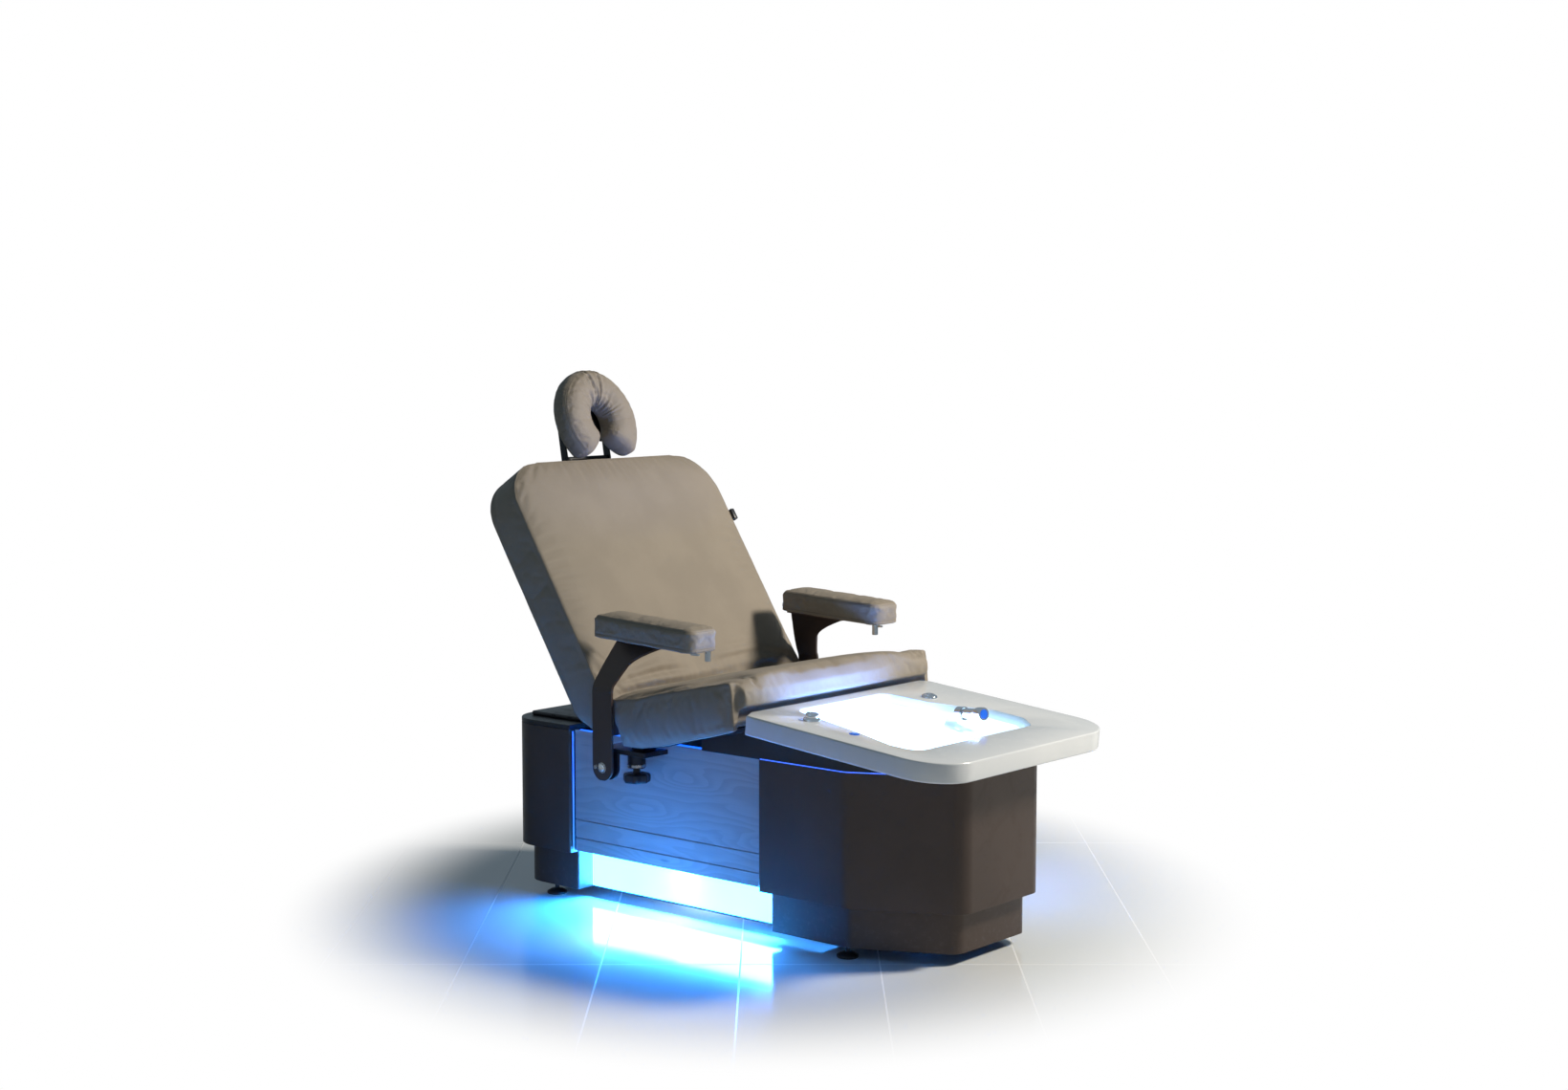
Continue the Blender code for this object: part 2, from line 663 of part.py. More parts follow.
def add_feet(root, material):
    """Levelling feet, which screw up and down in the plinth tabs."""
    profile = ((FOOT_RADIUS - 0.002, 0.0), (FOOT_RADIUS, 0.002), (FOOT_RADIUS, FOOT_DISC - 0.003),
               (FOOT_RADIUS * 0.6, FOOT_DISC + 0.004), (FOOT_STEM, FOOT_DISC + 0.006),
               (FOOT_STEM, PLINTH_BOTTOM + FOOT_TAB + 0.014))
    for end, x in (("front", FOOT_FRONT_X), ("rear", FOOT_REAR_X)):
        for side_name, side in SIDES:
            base = (x, side * FOOT_Y, 0.0)
            name = "foot_%s_%s" % (end, side_name)
            body = add_body(name, base, root)
            add_part(name, turned(profile, base, (0.0, 0.0, 1.0), 24), material, body, smooth=True)


# ---------------------------------------------------------------- carriage
def add_carriage(body, steel, dark, alloy, wood, plastic):
    """Everything that the columns lift and that doesn't move on its own."""
    plate_top = RAIL_BOTTOM - SEAT_GAP
    for name, x in zip(("front", "rear"), COLUMN_X):
        half = COLUMN_HALF - COLUMN_WALL - RUN_GAP
        low = CHASSIS_BOTTOM + COLUMN_FLANGE + 0.004
        ram = add_part("lift_column_%s_inner" % name,
                       box((x - half, x + half), (-half, half), (low, plate_top - WELD_DEPTH)), alloy, body)
        weld(ram, box((x - COLUMN_FLANGE_HALF, x + COLUMN_FLANGE_HALF), (-RAIL_OUTER, RAIL_OUTER),
                      (plate_top - LIFT_TOP_PLATE, plate_top)))

    for side_name, side in SIDES:
        inner = RAIL_OUTER - RAIL_WIDTH
        width = sorted((side * inner, side * RAIL_OUTER))
        rail = add_part("carriage_rail_" + side_name,
                        box((RAIL_BACK_X, RAIL_FRONT_X), width, (RAIL_BOTTOM, RAIL_TOP)), dark, body)
        cut(rail, tube_bore((RAIL_BACK_X, RAIL_FRONT_X), width, (RAIL_BOTTOM, RAIL_TOP)))
        weld(rail, box((RAIL_BACK_X, RAIL_BACK_X + POST_LENGTH), width,
                       (RAIL_TOP - TUBE_WALL / 2.0, SHELL_TOP)))
        lug = hull_outline(circle_points((TILT_X, TILT_Z), EAR_RADIUS, 20)
                           + [(TILT_X - LUG_HALF_LENGTH, LUG_BOTTOM), (TILT_X + LUG_HALF_LENGTH, LUG_BOTTOM)])
        weld(rail, prism(lug, "Y", side * (inner - LUG_THICKNESS), side * (inner + WELD_DEPTH)))
        cut(rail, rod((TILT_X, side * (inner - LUG_THICKNESS - OVERRUN), TILT_Z),
                      (TILT_X, side * (inner + OVERRUN), TILT_Z), PIN_RADIUS + SEAT_GAP, 24))

        span = (REAR_NEAR_X + SHEET + SEAT_GAP, -SEAT_GAP)
        face = side * PANEL_FACE
        panel = add_part("side_panel_" + side_name,
                         box(span, sorted((face, side * (PANEL_FACE - PANEL_THICKNESS))),
                             (PANEL_BOTTOM, SHELL_TOP)), wood, body)
        for height in PANEL_GROOVES:
            groove = box((span[0] - OVERRUN, span[1] + OVERRUN),
                         sorted((side * (PANEL_FACE - GROOVE_DEPTH), side * (PANEL_FACE + OVERRUN))),
                         (height - GROOVE_WIDTH / 2.0, height + GROOVE_WIDTH / 2.0))
            cut(panel, groove)

    front = mirrored(shell_path())
    bends = [0.0, SMALL_BEND, SHELL_BEND, SHELL_BEND]
    sheet = folded_sheet(front, bends + bends[::-1], SHEET)
    add_part("front_shell", prism(sheet, "Z", SHELL_BOTTOM, SHELL_TOP), steel, body)
    rear = mirrored(rear_path(0.0, SHELL_HALF_WIDTH - SHELL_RETURN))
    bends = [0.0, SMALL_BEND, REAR_CORNER, REAR_CORNER, SMALL_BEND, 0.0]
    rear_sheet = folded_sheet(rear, bends, SHEET)
    add_part("rear_shell", prism(rear_sheet, "Z", SHELL_BOTTOM, SHELL_TOP), steel, body)
    corners = rear[1:-1]
    lid = rounded(corners, [SMALL_BEND, REAR_CORNER, REAR_CORNER, SMALL_BEND])
    lid_bottom = SHELL_TOP + SEAT_GAP
    add_part("rear_cap", prism(lid, "Z", lid_bottom, SHELL_TOP + CAP_HEIGHT), plastic, body, bevel=0.003)
    cover = box((COVER_BACK_X, COVER_FRONT_X), (-COVER_HALF_WIDTH, COVER_HALF_WIDTH),
                (SHELL_TOP + CAP_HEIGHT + SEAT_GAP, COVER_TOP))
    add_part("hinge_cover", cover, plastic, body, bevel=0.003)
    add_skirt(body, plastic)


def skirt_inside():
    """Inner face of the skirt in X and Y, closed across its open end."""
    path = offset_path(mirrored(shell_path()[1:]), SHEET + SEAT_GAP + SKIRT_THICKNESS)
    path[0] = (SHEET, path[0][1])
    path[-1] = (SHEET, path[-1][1])
    return path


def add_skirt(body, material):
    """The wall that fills the wedge between the front pedestal and the slab and seat."""
    side = SHELL_HALF_WIDTH - SHEET - SEAT_GAP
    path = offset_path(mirrored(shell_path()[1:]), SHEET + SEAT_GAP)
    path[0] = (SKIRT_BACK_X, -side)
    path[-1] = (SKIRT_BACK_X, side)
    bend = SHELL_BEND - SHEET - SEAT_GAP
    sheet = folded_sheet(path, [0.0, bend, bend, bend, bend, 0.0], SKIRT_THICKNESS)
    low = SHELL_TOP - SKIRT_LAP
    skirt = add_part("basin_skirt", prism(sheet, "Z", low, SLAB_Z), material, body)
    step = box((SKIRT_BACK_X - OVERRUN, SMALL_BEND + SEAT_GAP), (-SLAB_HALF_WIDTH, SLAB_HALF_WIDTH),
               (low - OVERRUN, SHELL_TOP + SEAT_GAP))
    cut(skirt, step)
    start, end = SKIRT_BACK_X - OVERRUN, SLAB_X - 2.0 * OVERRUN
    above = [(x, height_on(SEAT_BOTTOM, x) - SEAT_GAP) for x in (start, end)]
    slab_low = -SLAB_THICKNESS - SEAT_GAP
    above += [flat(slab_point(s, 0.0, slab_low)) for s in (-OVERRUN, SLAB_LENGTH)]
    above += [(SLAB_LENGTH, SLAB_Z + OVERRUN), (start, SLAB_Z + OVERRUN)]
    cut(skirt, prism(above, "Y", -SLAB_HALF_WIDTH, SLAB_HALF_WIDTH))


def basin_rings():
    """Rings of the slab and its tub, from the middle of the underside round to the tub's floor."""
    corners = [(0.0, -SLAB_HALF_WIDTH), (SLAB_LENGTH, -SLAB_HALF_WIDTH),
               (SLAB_LENGTH, SLAB_HALF_WIDTH), (0.0, SLAB_HALF_WIDTH)]
    radii = [SLAB_BACK_CORNER, SLAB_FRONT_CORNER, SLAB_FRONT_CORNER, SLAB_BACK_CORNER]
    edge = rounded(corners, radii, 7)
    opening = rounded([(s, y) for s, y, _ in OPENING], [r for _, _, r in OPENING], 6)
    bowl = rounded([(s, y) for s, y, _ in BOWL], [r for _, _, r in BOWL], 6)
    hollow = rounded([((x - SLAB_X) / math.cos(SLAB_TILT), y) for x, y in skirt_inside()],
                     [0.0] + [BEND_RADIUS] * 4 + [0.0])
    angles = sorted({round(math.atan2(y - TUB_CENTRE[1], s - TUB_CENTRE[0]), 4) for s, y in edge}
                    | {round(-math.pi + math.radians(9.0) * (i + 0.5), 4) for i in range(40)})
    angles = [a for a, b in zip(angles, angles[1:] + [angles[0] + 2.0 * math.pi]) if b - a > 0.020]

    def ring(outline, inset, height, within=None):
        points = []
        for angle in angles:
            reach = ray_length(outline, TUB_CENTRE, angle) - inset
            if within is not None:
                reach = min(reach, ray_length(hollow, TUB_CENTRE, angle) - within)
            s = TUB_CENTRE[0] + reach * math.cos(angle)
            y = TUB_CENTRE[1] + reach * math.sin(angle)
            h = slab_height_at(s, height[1]) if height[0] == "level" else height[1]
            points.append(slab_point(s, y, h))
        return points

    floor = ("level", TUB_FLOOR_Z)
    under = ("level", TUB_FLOOR_Z - TUB_WALL)
    wall = TUB_WALL
    free = TUB_CLEARANCE
    return [
        ring(bowl, 0.090, under, free + 0.060), ring(bowl, 0.075 - wall, under, free + 0.045),
        ring(bowl, 0.050 - wall, ("level", TUB_FLOOR_Z + 0.012), free + 0.020),
        ring(bowl, 0.030 - wall, ("slab", -SLAB_THICKNESS - 0.010), free + 0.004),
        ring(bowl, 0.026 - wall, ("slab", -SLAB_THICKNESS), free),
        ring(edge, SLAB_EDGE, ("slab", -SLAB_THICKNESS)),
        ring(edge, 0.0, ("slab", SLAB_EDGE - SLAB_THICKNESS)),
        ring(edge, 0.0, ("slab", -SLAB_EDGE)), ring(edge, SLAB_EDGE, ("slab", 0.0)),
        ring(opening, 0.0, ("slab", 0.0)), ring(opening, 0.003, ("slab", -0.005)),
        ring(opening, 0.010, ("slab", -SHELF_DEPTH)),
        ring(bowl, 0.004, ("slab", -SHELF_DEPTH)), ring(bowl, 0.010, ("slab", -SHELF_DEPTH - 0.008)),
        ring(bowl, 0.024, ("slab", wall + 0.001 - SLAB_THICKNESS), free + wall),
        ring(bowl, 0.030, ("slab", -SLAB_THICKNESS - 0.010), free + wall + 0.004),
        ring(bowl, 0.052, ("level", TUB_FLOOR_Z + 0.020), free + wall + 0.022),
        ring(bowl, 0.075, ("level", TUB_FLOOR_Z + 0.003), free + wall + 0.045),
        ring(bowl, 0.100, floor, free + wall + 0.070),
    ]


def jet_place():
    """Middle of the jet on the tub's right wall, and the direction out of that wall."""
    s, h = JET
    right = height_on([(a, b) for a, b, _ in BOWL[:2]], s)
    point = slab_point(s, right + 0.019, h)
    return point, Vector((0.0, math.cos(JET_SLOPE), math.sin(JET_SLOPE)))


def add_basin(body, stone, chrome):
    """The slab with its tub, and the fittings that don't move."""
    slab = add_part("foot_basin", loft(basin_rings()), stone, body, smooth=True)
    s, y = DRAIN
    floor = slab_point(s, y, slab_height_at(s, TUB_FLOOR_Z))
    hole = Vector((0.0, 0.0, 2.0 * TUB_WALL))
    cut(slab, rod(floor - hole, floor + hole, DRAIN_RADIUS + SEAT_GAP, 24))
    for (bs, by), radius, depth in ((BUTTON, BUTTON_BEZEL_RADIUS - 0.003, BUTTON_DEPTH),
                                    (BLUE_BUTTON, BLUE_BUTTON_RADIUS, BLUE_BUTTON_DEPTH),
                                    (MIXER, MIXER_STEM, MIXER_DEPTH)):
        cut(slab, rod(slab_point(bs, by, -depth - SEAT_GAP), slab_point(bs, by, 0.010),
                      radius + SEAT_GAP, 24))
    place, out = jet_place()
    cut(slab, rod(place - out * 0.040, place + out * 0.030, JET_RADIUS + SEAT_GAP, 20))
    nozzle = ((JET_RADIUS, -0.016), (JET_RADIUS, 0.008), (JET_RADIUS - 0.003, 0.011),
              (JET_RADIUS * 0.5, 0.011), (JET_RADIUS * 0.4, 0.006))
    add_part("jet_nozzle", turned(nozzle, place, out, 20), chrome, body, smooth=True)

    sieve = ((DRAIN_RADIUS * 0.7, -0.030), (DRAIN_RADIUS, -0.026), (DRAIN_RADIUS, 0.0),
             (DRAIN_RADIUS - 0.002, 0.0015), (DRAIN_RADIUS * 0.8, -0.002))
    strainer = add_part("drain_strainer", turned(sieve, floor, (0.0, 0.0, 1.0), 24), chrome, body,
                        smooth=True)
    for i in range(6):
        angle = math.radians(60.0 * i)
        centre = floor + Vector((math.cos(angle), math.sin(angle), 0.0)) * DRAIN_RADIUS * 0.5
        cut(strainer, rod(centre - hole * 3.0, centre + hole, 0.003, 8))

    ring = ((BUTTON_BEZEL_RADIUS - 0.003, -BUTTON_DEPTH), (BUTTON_BEZEL_RADIUS - 0.003, SEAT_GAP),
            (BUTTON_BEZEL_RADIUS, SEAT_GAP), (BUTTON_BEZEL_RADIUS - 0.001, 0.005),
            (BUTTON_RADIUS + RUN_GAP, 0.007), (BUTTON_RADIUS + RUN_GAP, -BUTTON_DEPTH + 0.003),
            (0.004, -BUTTON_DEPTH + 0.003), (0.004, -BUTTON_DEPTH))
    add_part("button_bezel", turned(ring, slab_point(*BUTTON, 0.0), SLAB_UP, 24, ring_loop=True),
             chrome, body, smooth=True)
    collar = ((MIXER_STEM, -MIXER_DEPTH), (MIXER_STEM, SEAT_GAP), (MIXER_RADIUS, SEAT_GAP),
              (MIXER_RADIUS, 0.004), (MIXER_RADIUS - 0.003, COLLAR_HEIGHT), (0.0045, COLLAR_HEIGHT),
              (0.0045, -MIXER_DEPTH))
    add_part("mixer_collar", turned(collar, slab_point(*MIXER, 0.0), SLAB_UP, 24, ring_loop=True),
             chrome, body, smooth=True)

    back, run = shower_line()
    wall = SHOWER_RADIUS + RUN_GAP
    outer = wall + HOLDER_WALL
    holder = add_part("shower_holder", rod(back + run * HOLDER_START, back + run * HOLDER_END, outer, 24),
                      chrome, body)
    middle = back + run * 0.5 * (HOLDER_START + HOLDER_END)
    drop = (middle - slab_point(0.0, 0.0, SEAT_GAP - SHELF_DEPTH)).dot(SLAB_UP)
    weld(holder, rod(middle - SLAB_UP * drop, middle, HOLDER_POST, 20))
    cut(holder, rod(back - run * 0.01, back + run * (HOLDER_END + 0.02), wall, 24))


def shower_line():
    """Back end of the hand shower and the direction of its nose."""
    back, tip = slab_point(*SHOWER_BACK), slab_point(*SHOWER_TIP)
    return back, (tip - back).normalized()


def add_basin_movers(carriage, chrome, blue):
    """Mixer knob, push buttons and the hand shower that pulls out."""
    centre = slab_point(*MIXER, COLLAR_HEIGHT + SEAT_GAP)
    body = add_body("mixer", centre, carriage)
    radius = MIXER_KNOB_RADIUS
    knob = ((radius, 0.0), (radius, 0.007), (radius - 0.001, 0.009), (radius * 0.75, 0.0105),
            (radius * 0.70, 0.0085))
    item = add_part("mixer_knob", turned(knob, centre, SLAB_UP, 24), chrome, body, smooth=True)
    pointer = centre + Vector((-radius * 0.8, 0.0, 0.0)) + SLAB_UP * 0.009
    weld(item, box((pointer.x - 0.004, pointer.x + 0.004), (pointer.y - 0.002, pointer.y + 0.002),
                   (pointer.z - 0.003, pointer.z + 0.004)))

    centre = slab_point(*BUTTON, 0.0)
    body = add_body("chrome_button", centre, carriage)
    low = -BUTTON_DEPTH + 0.003 + BUTTON_TRAVEL + SEAT_GAP
    button = ((BUTTON_RADIUS, low), (BUTTON_RADIUS, 0.0085), (BUTTON_RADIUS - 0.003, 0.0100))
    add_part("chrome_button", turned(button, centre, SLAB_UP, 24), chrome, body, smooth=True)

    centre = slab_point(*BLUE_BUTTON, 0.0)
    body = add_body("blue_button", centre, carriage)
    low = -BLUE_BUTTON_DEPTH + BUTTON_TRAVEL
    button = ((BLUE_BUTTON_RADIUS, low), (BLUE_BUTTON_RADIUS, 0.0005), (BLUE_BUTTON_RADIUS - 0.003, 0.0020))
    add_part("blue_button", turned(button, centre, SLAB_UP, 24), blue, body, smooth=True)

    back, run = shower_line()
    length = (slab_point(*SHOWER_TIP) - back).length
    radius, head = SHOWER_RADIUS, SHOWER_HEAD_RADIUS
    body = add_body("hand_shower", back, carriage)
    handle = ((radius - 0.003, 0.0), (radius, 0.003), (radius, length * 0.62), (head, length * 0.78),
              (head, length - 0.002), (head - 0.002, length), (head - 0.005, length),
              (head - 0.005, length - 0.0035))
    add_part("hand_shower", turned(handle, back, run, 24), chrome, body, smooth=True)
    face = ((head - 0.0056, length - 0.0032), (head - 0.0056, length + 0.0005),
            (head - 0.008, length + 0.0015))
    add_part("shower_face", turned(face, back, run, 24), blue, body, smooth=True)


# ---------------------------------------------------------------- seat
def seat_ring(y):
    """Outline of the seat cushion's section at y, in X and Z, and how far it is drawn in."""
    reach = abs(y)
    end = SEAT_HALF_WIDTH - reach
    pull = SEAT_DRAW_IN if end < 0.001 else 0.0
    under = BOARD_THICKNESS + SEAT_GAP if reach < BOARD_HALF_WIDTH + BOARD_MARGIN + 1e-6 else 0.0
    swell = SEAT_CROWN * (1.0 - (reach / SEAT_HALF_WIDTH) ** 2) ** 0.7 if end > 0.001 else 0.0
    middle = reach < SLAB_HALF_WIDTH + SEAT_CHEEK_GAP - 1e-6
    rear_x = SEAT_BOTTOM[0][0]

    lower = [(x, height_on(SEAT_BOTTOM, x) + under) for x in (rear_x, -0.330, -0.250, -0.120, -0.004)]
    if middle:
        shelf = SLAB_Z + SEAT_NOTCH_GAP
        nose = [(-0.004, shelf), (0.012, shelf), (SEAT_FRONT_X - 0.008, shelf + 0.001),
                (SEAT_FRONT_X, shelf + 0.018), (SEAT_FRONT_X - 0.006, shelf + 0.048)]
    else:
        nose = [(0.010, height_on(SEAT_BOTTOM, 0.010) + under)] + list(SEAT_CHEEK_FRONT)
    top = []
    first, last = SEAT_TOP[0][0], SEAT_REAR_TOP[0]
    steps = 9
    for i in range(steps + 1):
        x = first + (last + 0.012 - first) * i / steps
        z = height_on(SEAT_TOP, x)
        edge = min(1.0, i / 2.0, (steps - i) / 2.0 + 0.15)
        top.append((x, z + swell * edge))
    rear = [SEAT_REAR_TOP, (0.55 * SEAT_REAR_TOP[0] + 0.45 * rear_x - 0.004,
                            0.55 * SEAT_REAR_TOP[1] + 0.45 * 0.505),
            (rear_x - 0.003, SEAT_BOTTOM[0][1] + 0.010 + under)]
    outline = lower + nose + top + rear
    centre = Vector((-0.20, 0.60))
    points = []
    for point in outline:
        away = Vector(point) - centre
        shrunk = centre + away * (1.0 - pull / away.length)
        points.append((shrunk.x, y, shrunk.y))
    return points


def seat_stations():
    """Where the seat cushion's sections lie across its width."""
    board = BOARD_HALF_WIDTH + BOARD_MARGIN
    cheek = SLAB_HALF_WIDTH + SEAT_CHEEK_GAP
    half = [SEAT_HALF_WIDTH, SEAT_HALF_WIDTH - 0.004, SEAT_HALF_WIDTH - 0.014, cheek + 0.0015, cheek - 0.0001,
            board + 0.0015, board] + [BOARD_HALF_WIDTH * share for share in SEAT_STATIONS]
    return [-y for y in half] + [0.0] + half[::-1]


def add_seat(body, leather, plywood):
    """Seat cushion on its board, with the ears that carry both hinges."""
    cushion = loft([seat_ring(y) for y in seat_stations()])
    add_part("seat_cushion", cushion, leather, body, smooth=True)
    low = [(x, z) for x, z in SEAT_BOTTOM]
    board = low + [(x, z + BOARD_THICKNESS) for x, z in low[::-1]]
    item = add_part("seat_board", prism(board, "Y", -BOARD_HALF_WIDTH, BOARD_HALF_WIDTH), plywood, body)
    anchor = [(x, z + 0.5 * BOARD_THICKNESS) for x, z in low[:2]]
    for _, side in SIDES:
        outer = RAIL_OUTER - RAIL_WIDTH - LUG_THICKNESS - SEAT_GAP
        points = (circle_points((TILT_X, TILT_Z), EAR_RADIUS, 20)
                  + circle_points((HINGE_X, HINGE_Z), EAR_RADIUS, 20))
        ear = hull_outline(points + [(anchor[0][0], anchor[0][1])])
        weld(item, prism(ear, "Y", side * (outer - EAR_THICKNESS), side * outer))
        web = [(TILT_X, TILT_Z - 0.5 * EAR_RADIUS), anchor[1], (anchor[1][0] - 0.06, anchor[1][1]),
               (TILT_X, TILT_Z)]
        weld(item, prism(hull_outline(web), "Y", side * (outer - EAR_THICKNESS), side * outer))
        for x, z, through in ((TILT_X, TILT_Z, LUG_THICKNESS), (HINGE_X, HINGE_Z, EAR_THICKNESS)):
            reach = outer + SEAT_GAP + through + 0.001
            weld(item, rod((x, side * (outer - 0.004), z), (x, side * reach, z), PIN_RADIUS, 24))


# ---------------------------------------------------------------- back
def back_outline(inset, m):
    """Ring of the back cushion at one depth, drawn in by inset."""
    low = height_on([(depth, u) for depth, u in BACK_HEEL], m) + inset
    high = BACK_LENGTH - inset
    half = BACK_HALF_WIDTH - inset
    corners = [(-half, low), (half, low), (half, high), (-half, high)]
    low_r = max(BACK_LOW_CORNER - inset, 0.006)
    high_r = max(BACK_TOP_CORNER - inset, 0.012)
    count = 8
    outline = []
    for i, radius in enumerate((low_r, low_r, high_r, high_r)):
        outline += fillet(corners[i - 1], corners[i], corners[(i + 1) % 4], radius, count)
        ahead = corners[(i + 1) % 4]
        start, end = Vector(outline[-1]), Vector(corners[i])
        run = Vector(ahead) - end
        reach = (start - end).length
        next_r = (low_r, low_r, high_r, high_r)[(i + 1) % 4]
        for j in range(1, 6):
            share = j / 6.0
            outline.append(tuple(end + run.normalized() * (reach + (run.length - reach - next_r) * share)))
    return [back_point(y, u, m) for y, u in outline]


def add_back(body, leather, plywood, plastic):
    """Back cushion on its board, with the ears that swing on the seat's pins."""
    levels = [(0.240, BACK_CROWN), (0.150, BACK_CROWN * 0.93), (0.080, BACK_CROWN * 0.75),
              (0.035, BACK_CROWN * 0.45), (0.012, 0.0015), (0.003, -0.002), (0.000, -0.006)]
    rings = []
    for inset, m in levels:
        ring = back_outline(inset, min(m, 0.0))
        rings.append([point + BACK_OUT * max(m, 0.0) for point in ring])
    for inset, m in ((0.003, -0.012), (0.004, -0.040), (0.004, -0.0745), (0.004, -0.105), (0.001, -0.120),
                     (0.003, -0.127), (0.010, -0.135), (0.022, -BACK_THICKNESS)):
        rings.append(back_outline(inset, m))
    cushion = add_part("back_cushion", loft(rings), leather, body, smooth=True)

    ear_outer = RAIL_OUTER - RAIL_WIDTH - LUG_THICKNESS - SEAT_GAP
    low, high = ear_outer + SEAT_GAP, ear_outer + SEAT_GAP + EAR_THICKNESS
    rear = -BACK_THICKNESS - SEAT_GAP
    inset = BACK_BOARD_INSET
    half = BACK_HALF_WIDTH - inset
    top = BACK_LENGTH - inset
    corners = [(-half, inset + 0.035), (half, inset + 0.035), (half, top), (-half, top)]
    outline = rounded(corners, [0.02, 0.02, BACK_TOP_CORNER - inset, BACK_TOP_CORNER - inset], 8)
    rings = [[back_point(y, u, m) for y, u in outline] for m in (rear, rear - BACK_BOARD_THICKNESS)]
    board = add_part("back_board", loft(rings), plywood, body)
    for _, side in SIDES:
        points = circle_points((HINGE_X, HINGE_Z), EAR_RADIUS, 20)
        points += [flat(back_point(0.0, u, m)) for u, m in ((0.035, rear - 0.006), (0.170, rear - 0.006),
                                                            (0.170, rear + 0.022))]
        weld(board, prism(hull_outline(points), "Y", side * low, side * high))
        cut(board, rod((HINGE_X, side * (low - 0.01), HINGE_Z), (HINGE_X, side * (high + 0.01), HINGE_Z),
                       PIN_RADIUS + SEAT_GAP, 24))
        slot = [flat(back_point(0.0, 0.175, rear - 0.02)), flat(back_point(0.0, 0.175, rear + 0.026)),
                flat(back_point(0.0, 0.060, -0.076)), (HINGE_X, HINGE_Z + EAR_RADIUS + 0.016),
                (HINGE_X + 0.075, HINGE_Z + EAR_RADIUS + 0.016), (HINGE_X + 0.075, HINGE_Z - 0.06),
                (HINGE_X - 0.15, HINGE_Z - 0.06)]
        cut(cushion, prism(slot, "Y", side * (ear_outer - EAR_THICKNESS - 0.002), side * (high + 0.002)))

    for _, side in SIDES:
        start = back_point(side * ROD_Y, ROD_BOTTOM_U - 0.004, ROD_M)
        reach = BACK_LENGTH - ROD_BOTTOM_U + 5.0 * OVERRUN
        cut(cushion, rod(start, start + BACK_UP * reach, ROD_RADIUS + SEAT_GAP, 16))
    wide, long, deep = CLIP_SIZE
    face = BACK_HALF_WIDTH + SEAT_GAP
    outline = [(CLIP_U - long / 2, CLIP_M - deep / 2), (CLIP_U + long / 2, CLIP_M - deep / 2),
               (CLIP_U + long / 2, CLIP_M + deep / 2), (CLIP_U - long / 2, CLIP_M + deep / 2)]
    sides = [[back_point(y, u, m) for u, m in outline] for y in (face, face + wide)]
    add_part("control_clip", loft(sides), plastic, body, bevel=0.002)


# ---------------------------------------------------------------- armrests
def arm_mid(z):
    """Middle of the bracket's plate at height z: its y, and the plate's lean there."""
    y = ARM_PLATE_INNER + ARM_PLATE / 2.0
    centre = (y - ARM_BEND_RADIUS, ARM_BEND_Z)
    bent = ARM_BEND_Z + ARM_BEND_RADIUS * math.sin(ARM_LEAN)
    if z <= ARM_BEND_Z:
        return y, 0.0
    if z <= bent:
        lean = math.asin((z - ARM_BEND_Z) / ARM_BEND_RADIUS)
        return centre[0] + ARM_BEND_RADIUS * math.cos(lean), lean
    start = centre[0] + ARM_BEND_RADIUS * math.cos(ARM_LEAN)
    return start - (z - bent) * math.tan(ARM_LEAN), ARM_LEAN


def pad_point(a, y, h):
    """Pad coordinates (from its back end, y, up from its underside) to the build frame."""
    sine, cosine = math.sin(PAD_TILT), math.cos(PAD_TILT)
    return Vector((PAD_BACK_X + a * cosine + (h - PAD_THICKNESS) * sine, y,
                   PAD_TOP_Z - a * sine + (h - PAD_THICKNESS) * cosine))


def pad_under(x):
    """Height of the pad's underside at x."""
    start, end = pad_point(0.0, 0.0, 0.0), pad_point(PAD_LENGTH, 0.0, 0.0)
    return height_on([flat(start), flat(end)], x)


def bracket_rings(side):
    """Rings up the bent plate: two faces and two edges at each height."""
    rows = []
    for i in range(1, 7):
        angle = math.radians(90.0 * i / 6.0)
        half = ARM_HALF_WIDTH * math.sin(angle)
        z = ARM_PIVOT_Z - ARM_HALF_WIDTH * math.cos(angle)
        rows.append(((ARM_PIVOT_X - half, z), (ARM_PIVOT_X + half, z)))
    back, front = ARM_PIVOT_X - ARM_HALF_WIDTH, ARM_PIVOT_X + ARM_HALF_WIDTH
    bent = ARM_BEND_RADIUS * math.sin(ARM_LEAN)
    rows += [((back, ARM_BEND_Z + bent * share), (front, ARM_BEND_Z + bent * share))
             for share in (0.0, 0.33, 0.66, 1.0)]
    top = [pad_under(x) - SEAT_GAP - 0.0028 for x in (back + 0.034, front + 0.155)]
    for rise, into, out in ARM_FLARE:
        low = ARM_BEND_Z + bent
        rows.append(((back + into, low + (top[0] - low) * rise), (front + out, low + (top[1] - low) * rise)))
    rings = []
    for row in rows:
        ring = []
        for (x, z), faces in zip(row, ((-0.5, 0.5), (0.5, -0.5))):
            y, lean = arm_mid(z)
            for face in faces:
                off = face * ARM_PLATE
                ring.append((x, side * (y + off * math.cos(lean)), z + off * math.sin(lean)))
        rings.append(ring)
    return rings


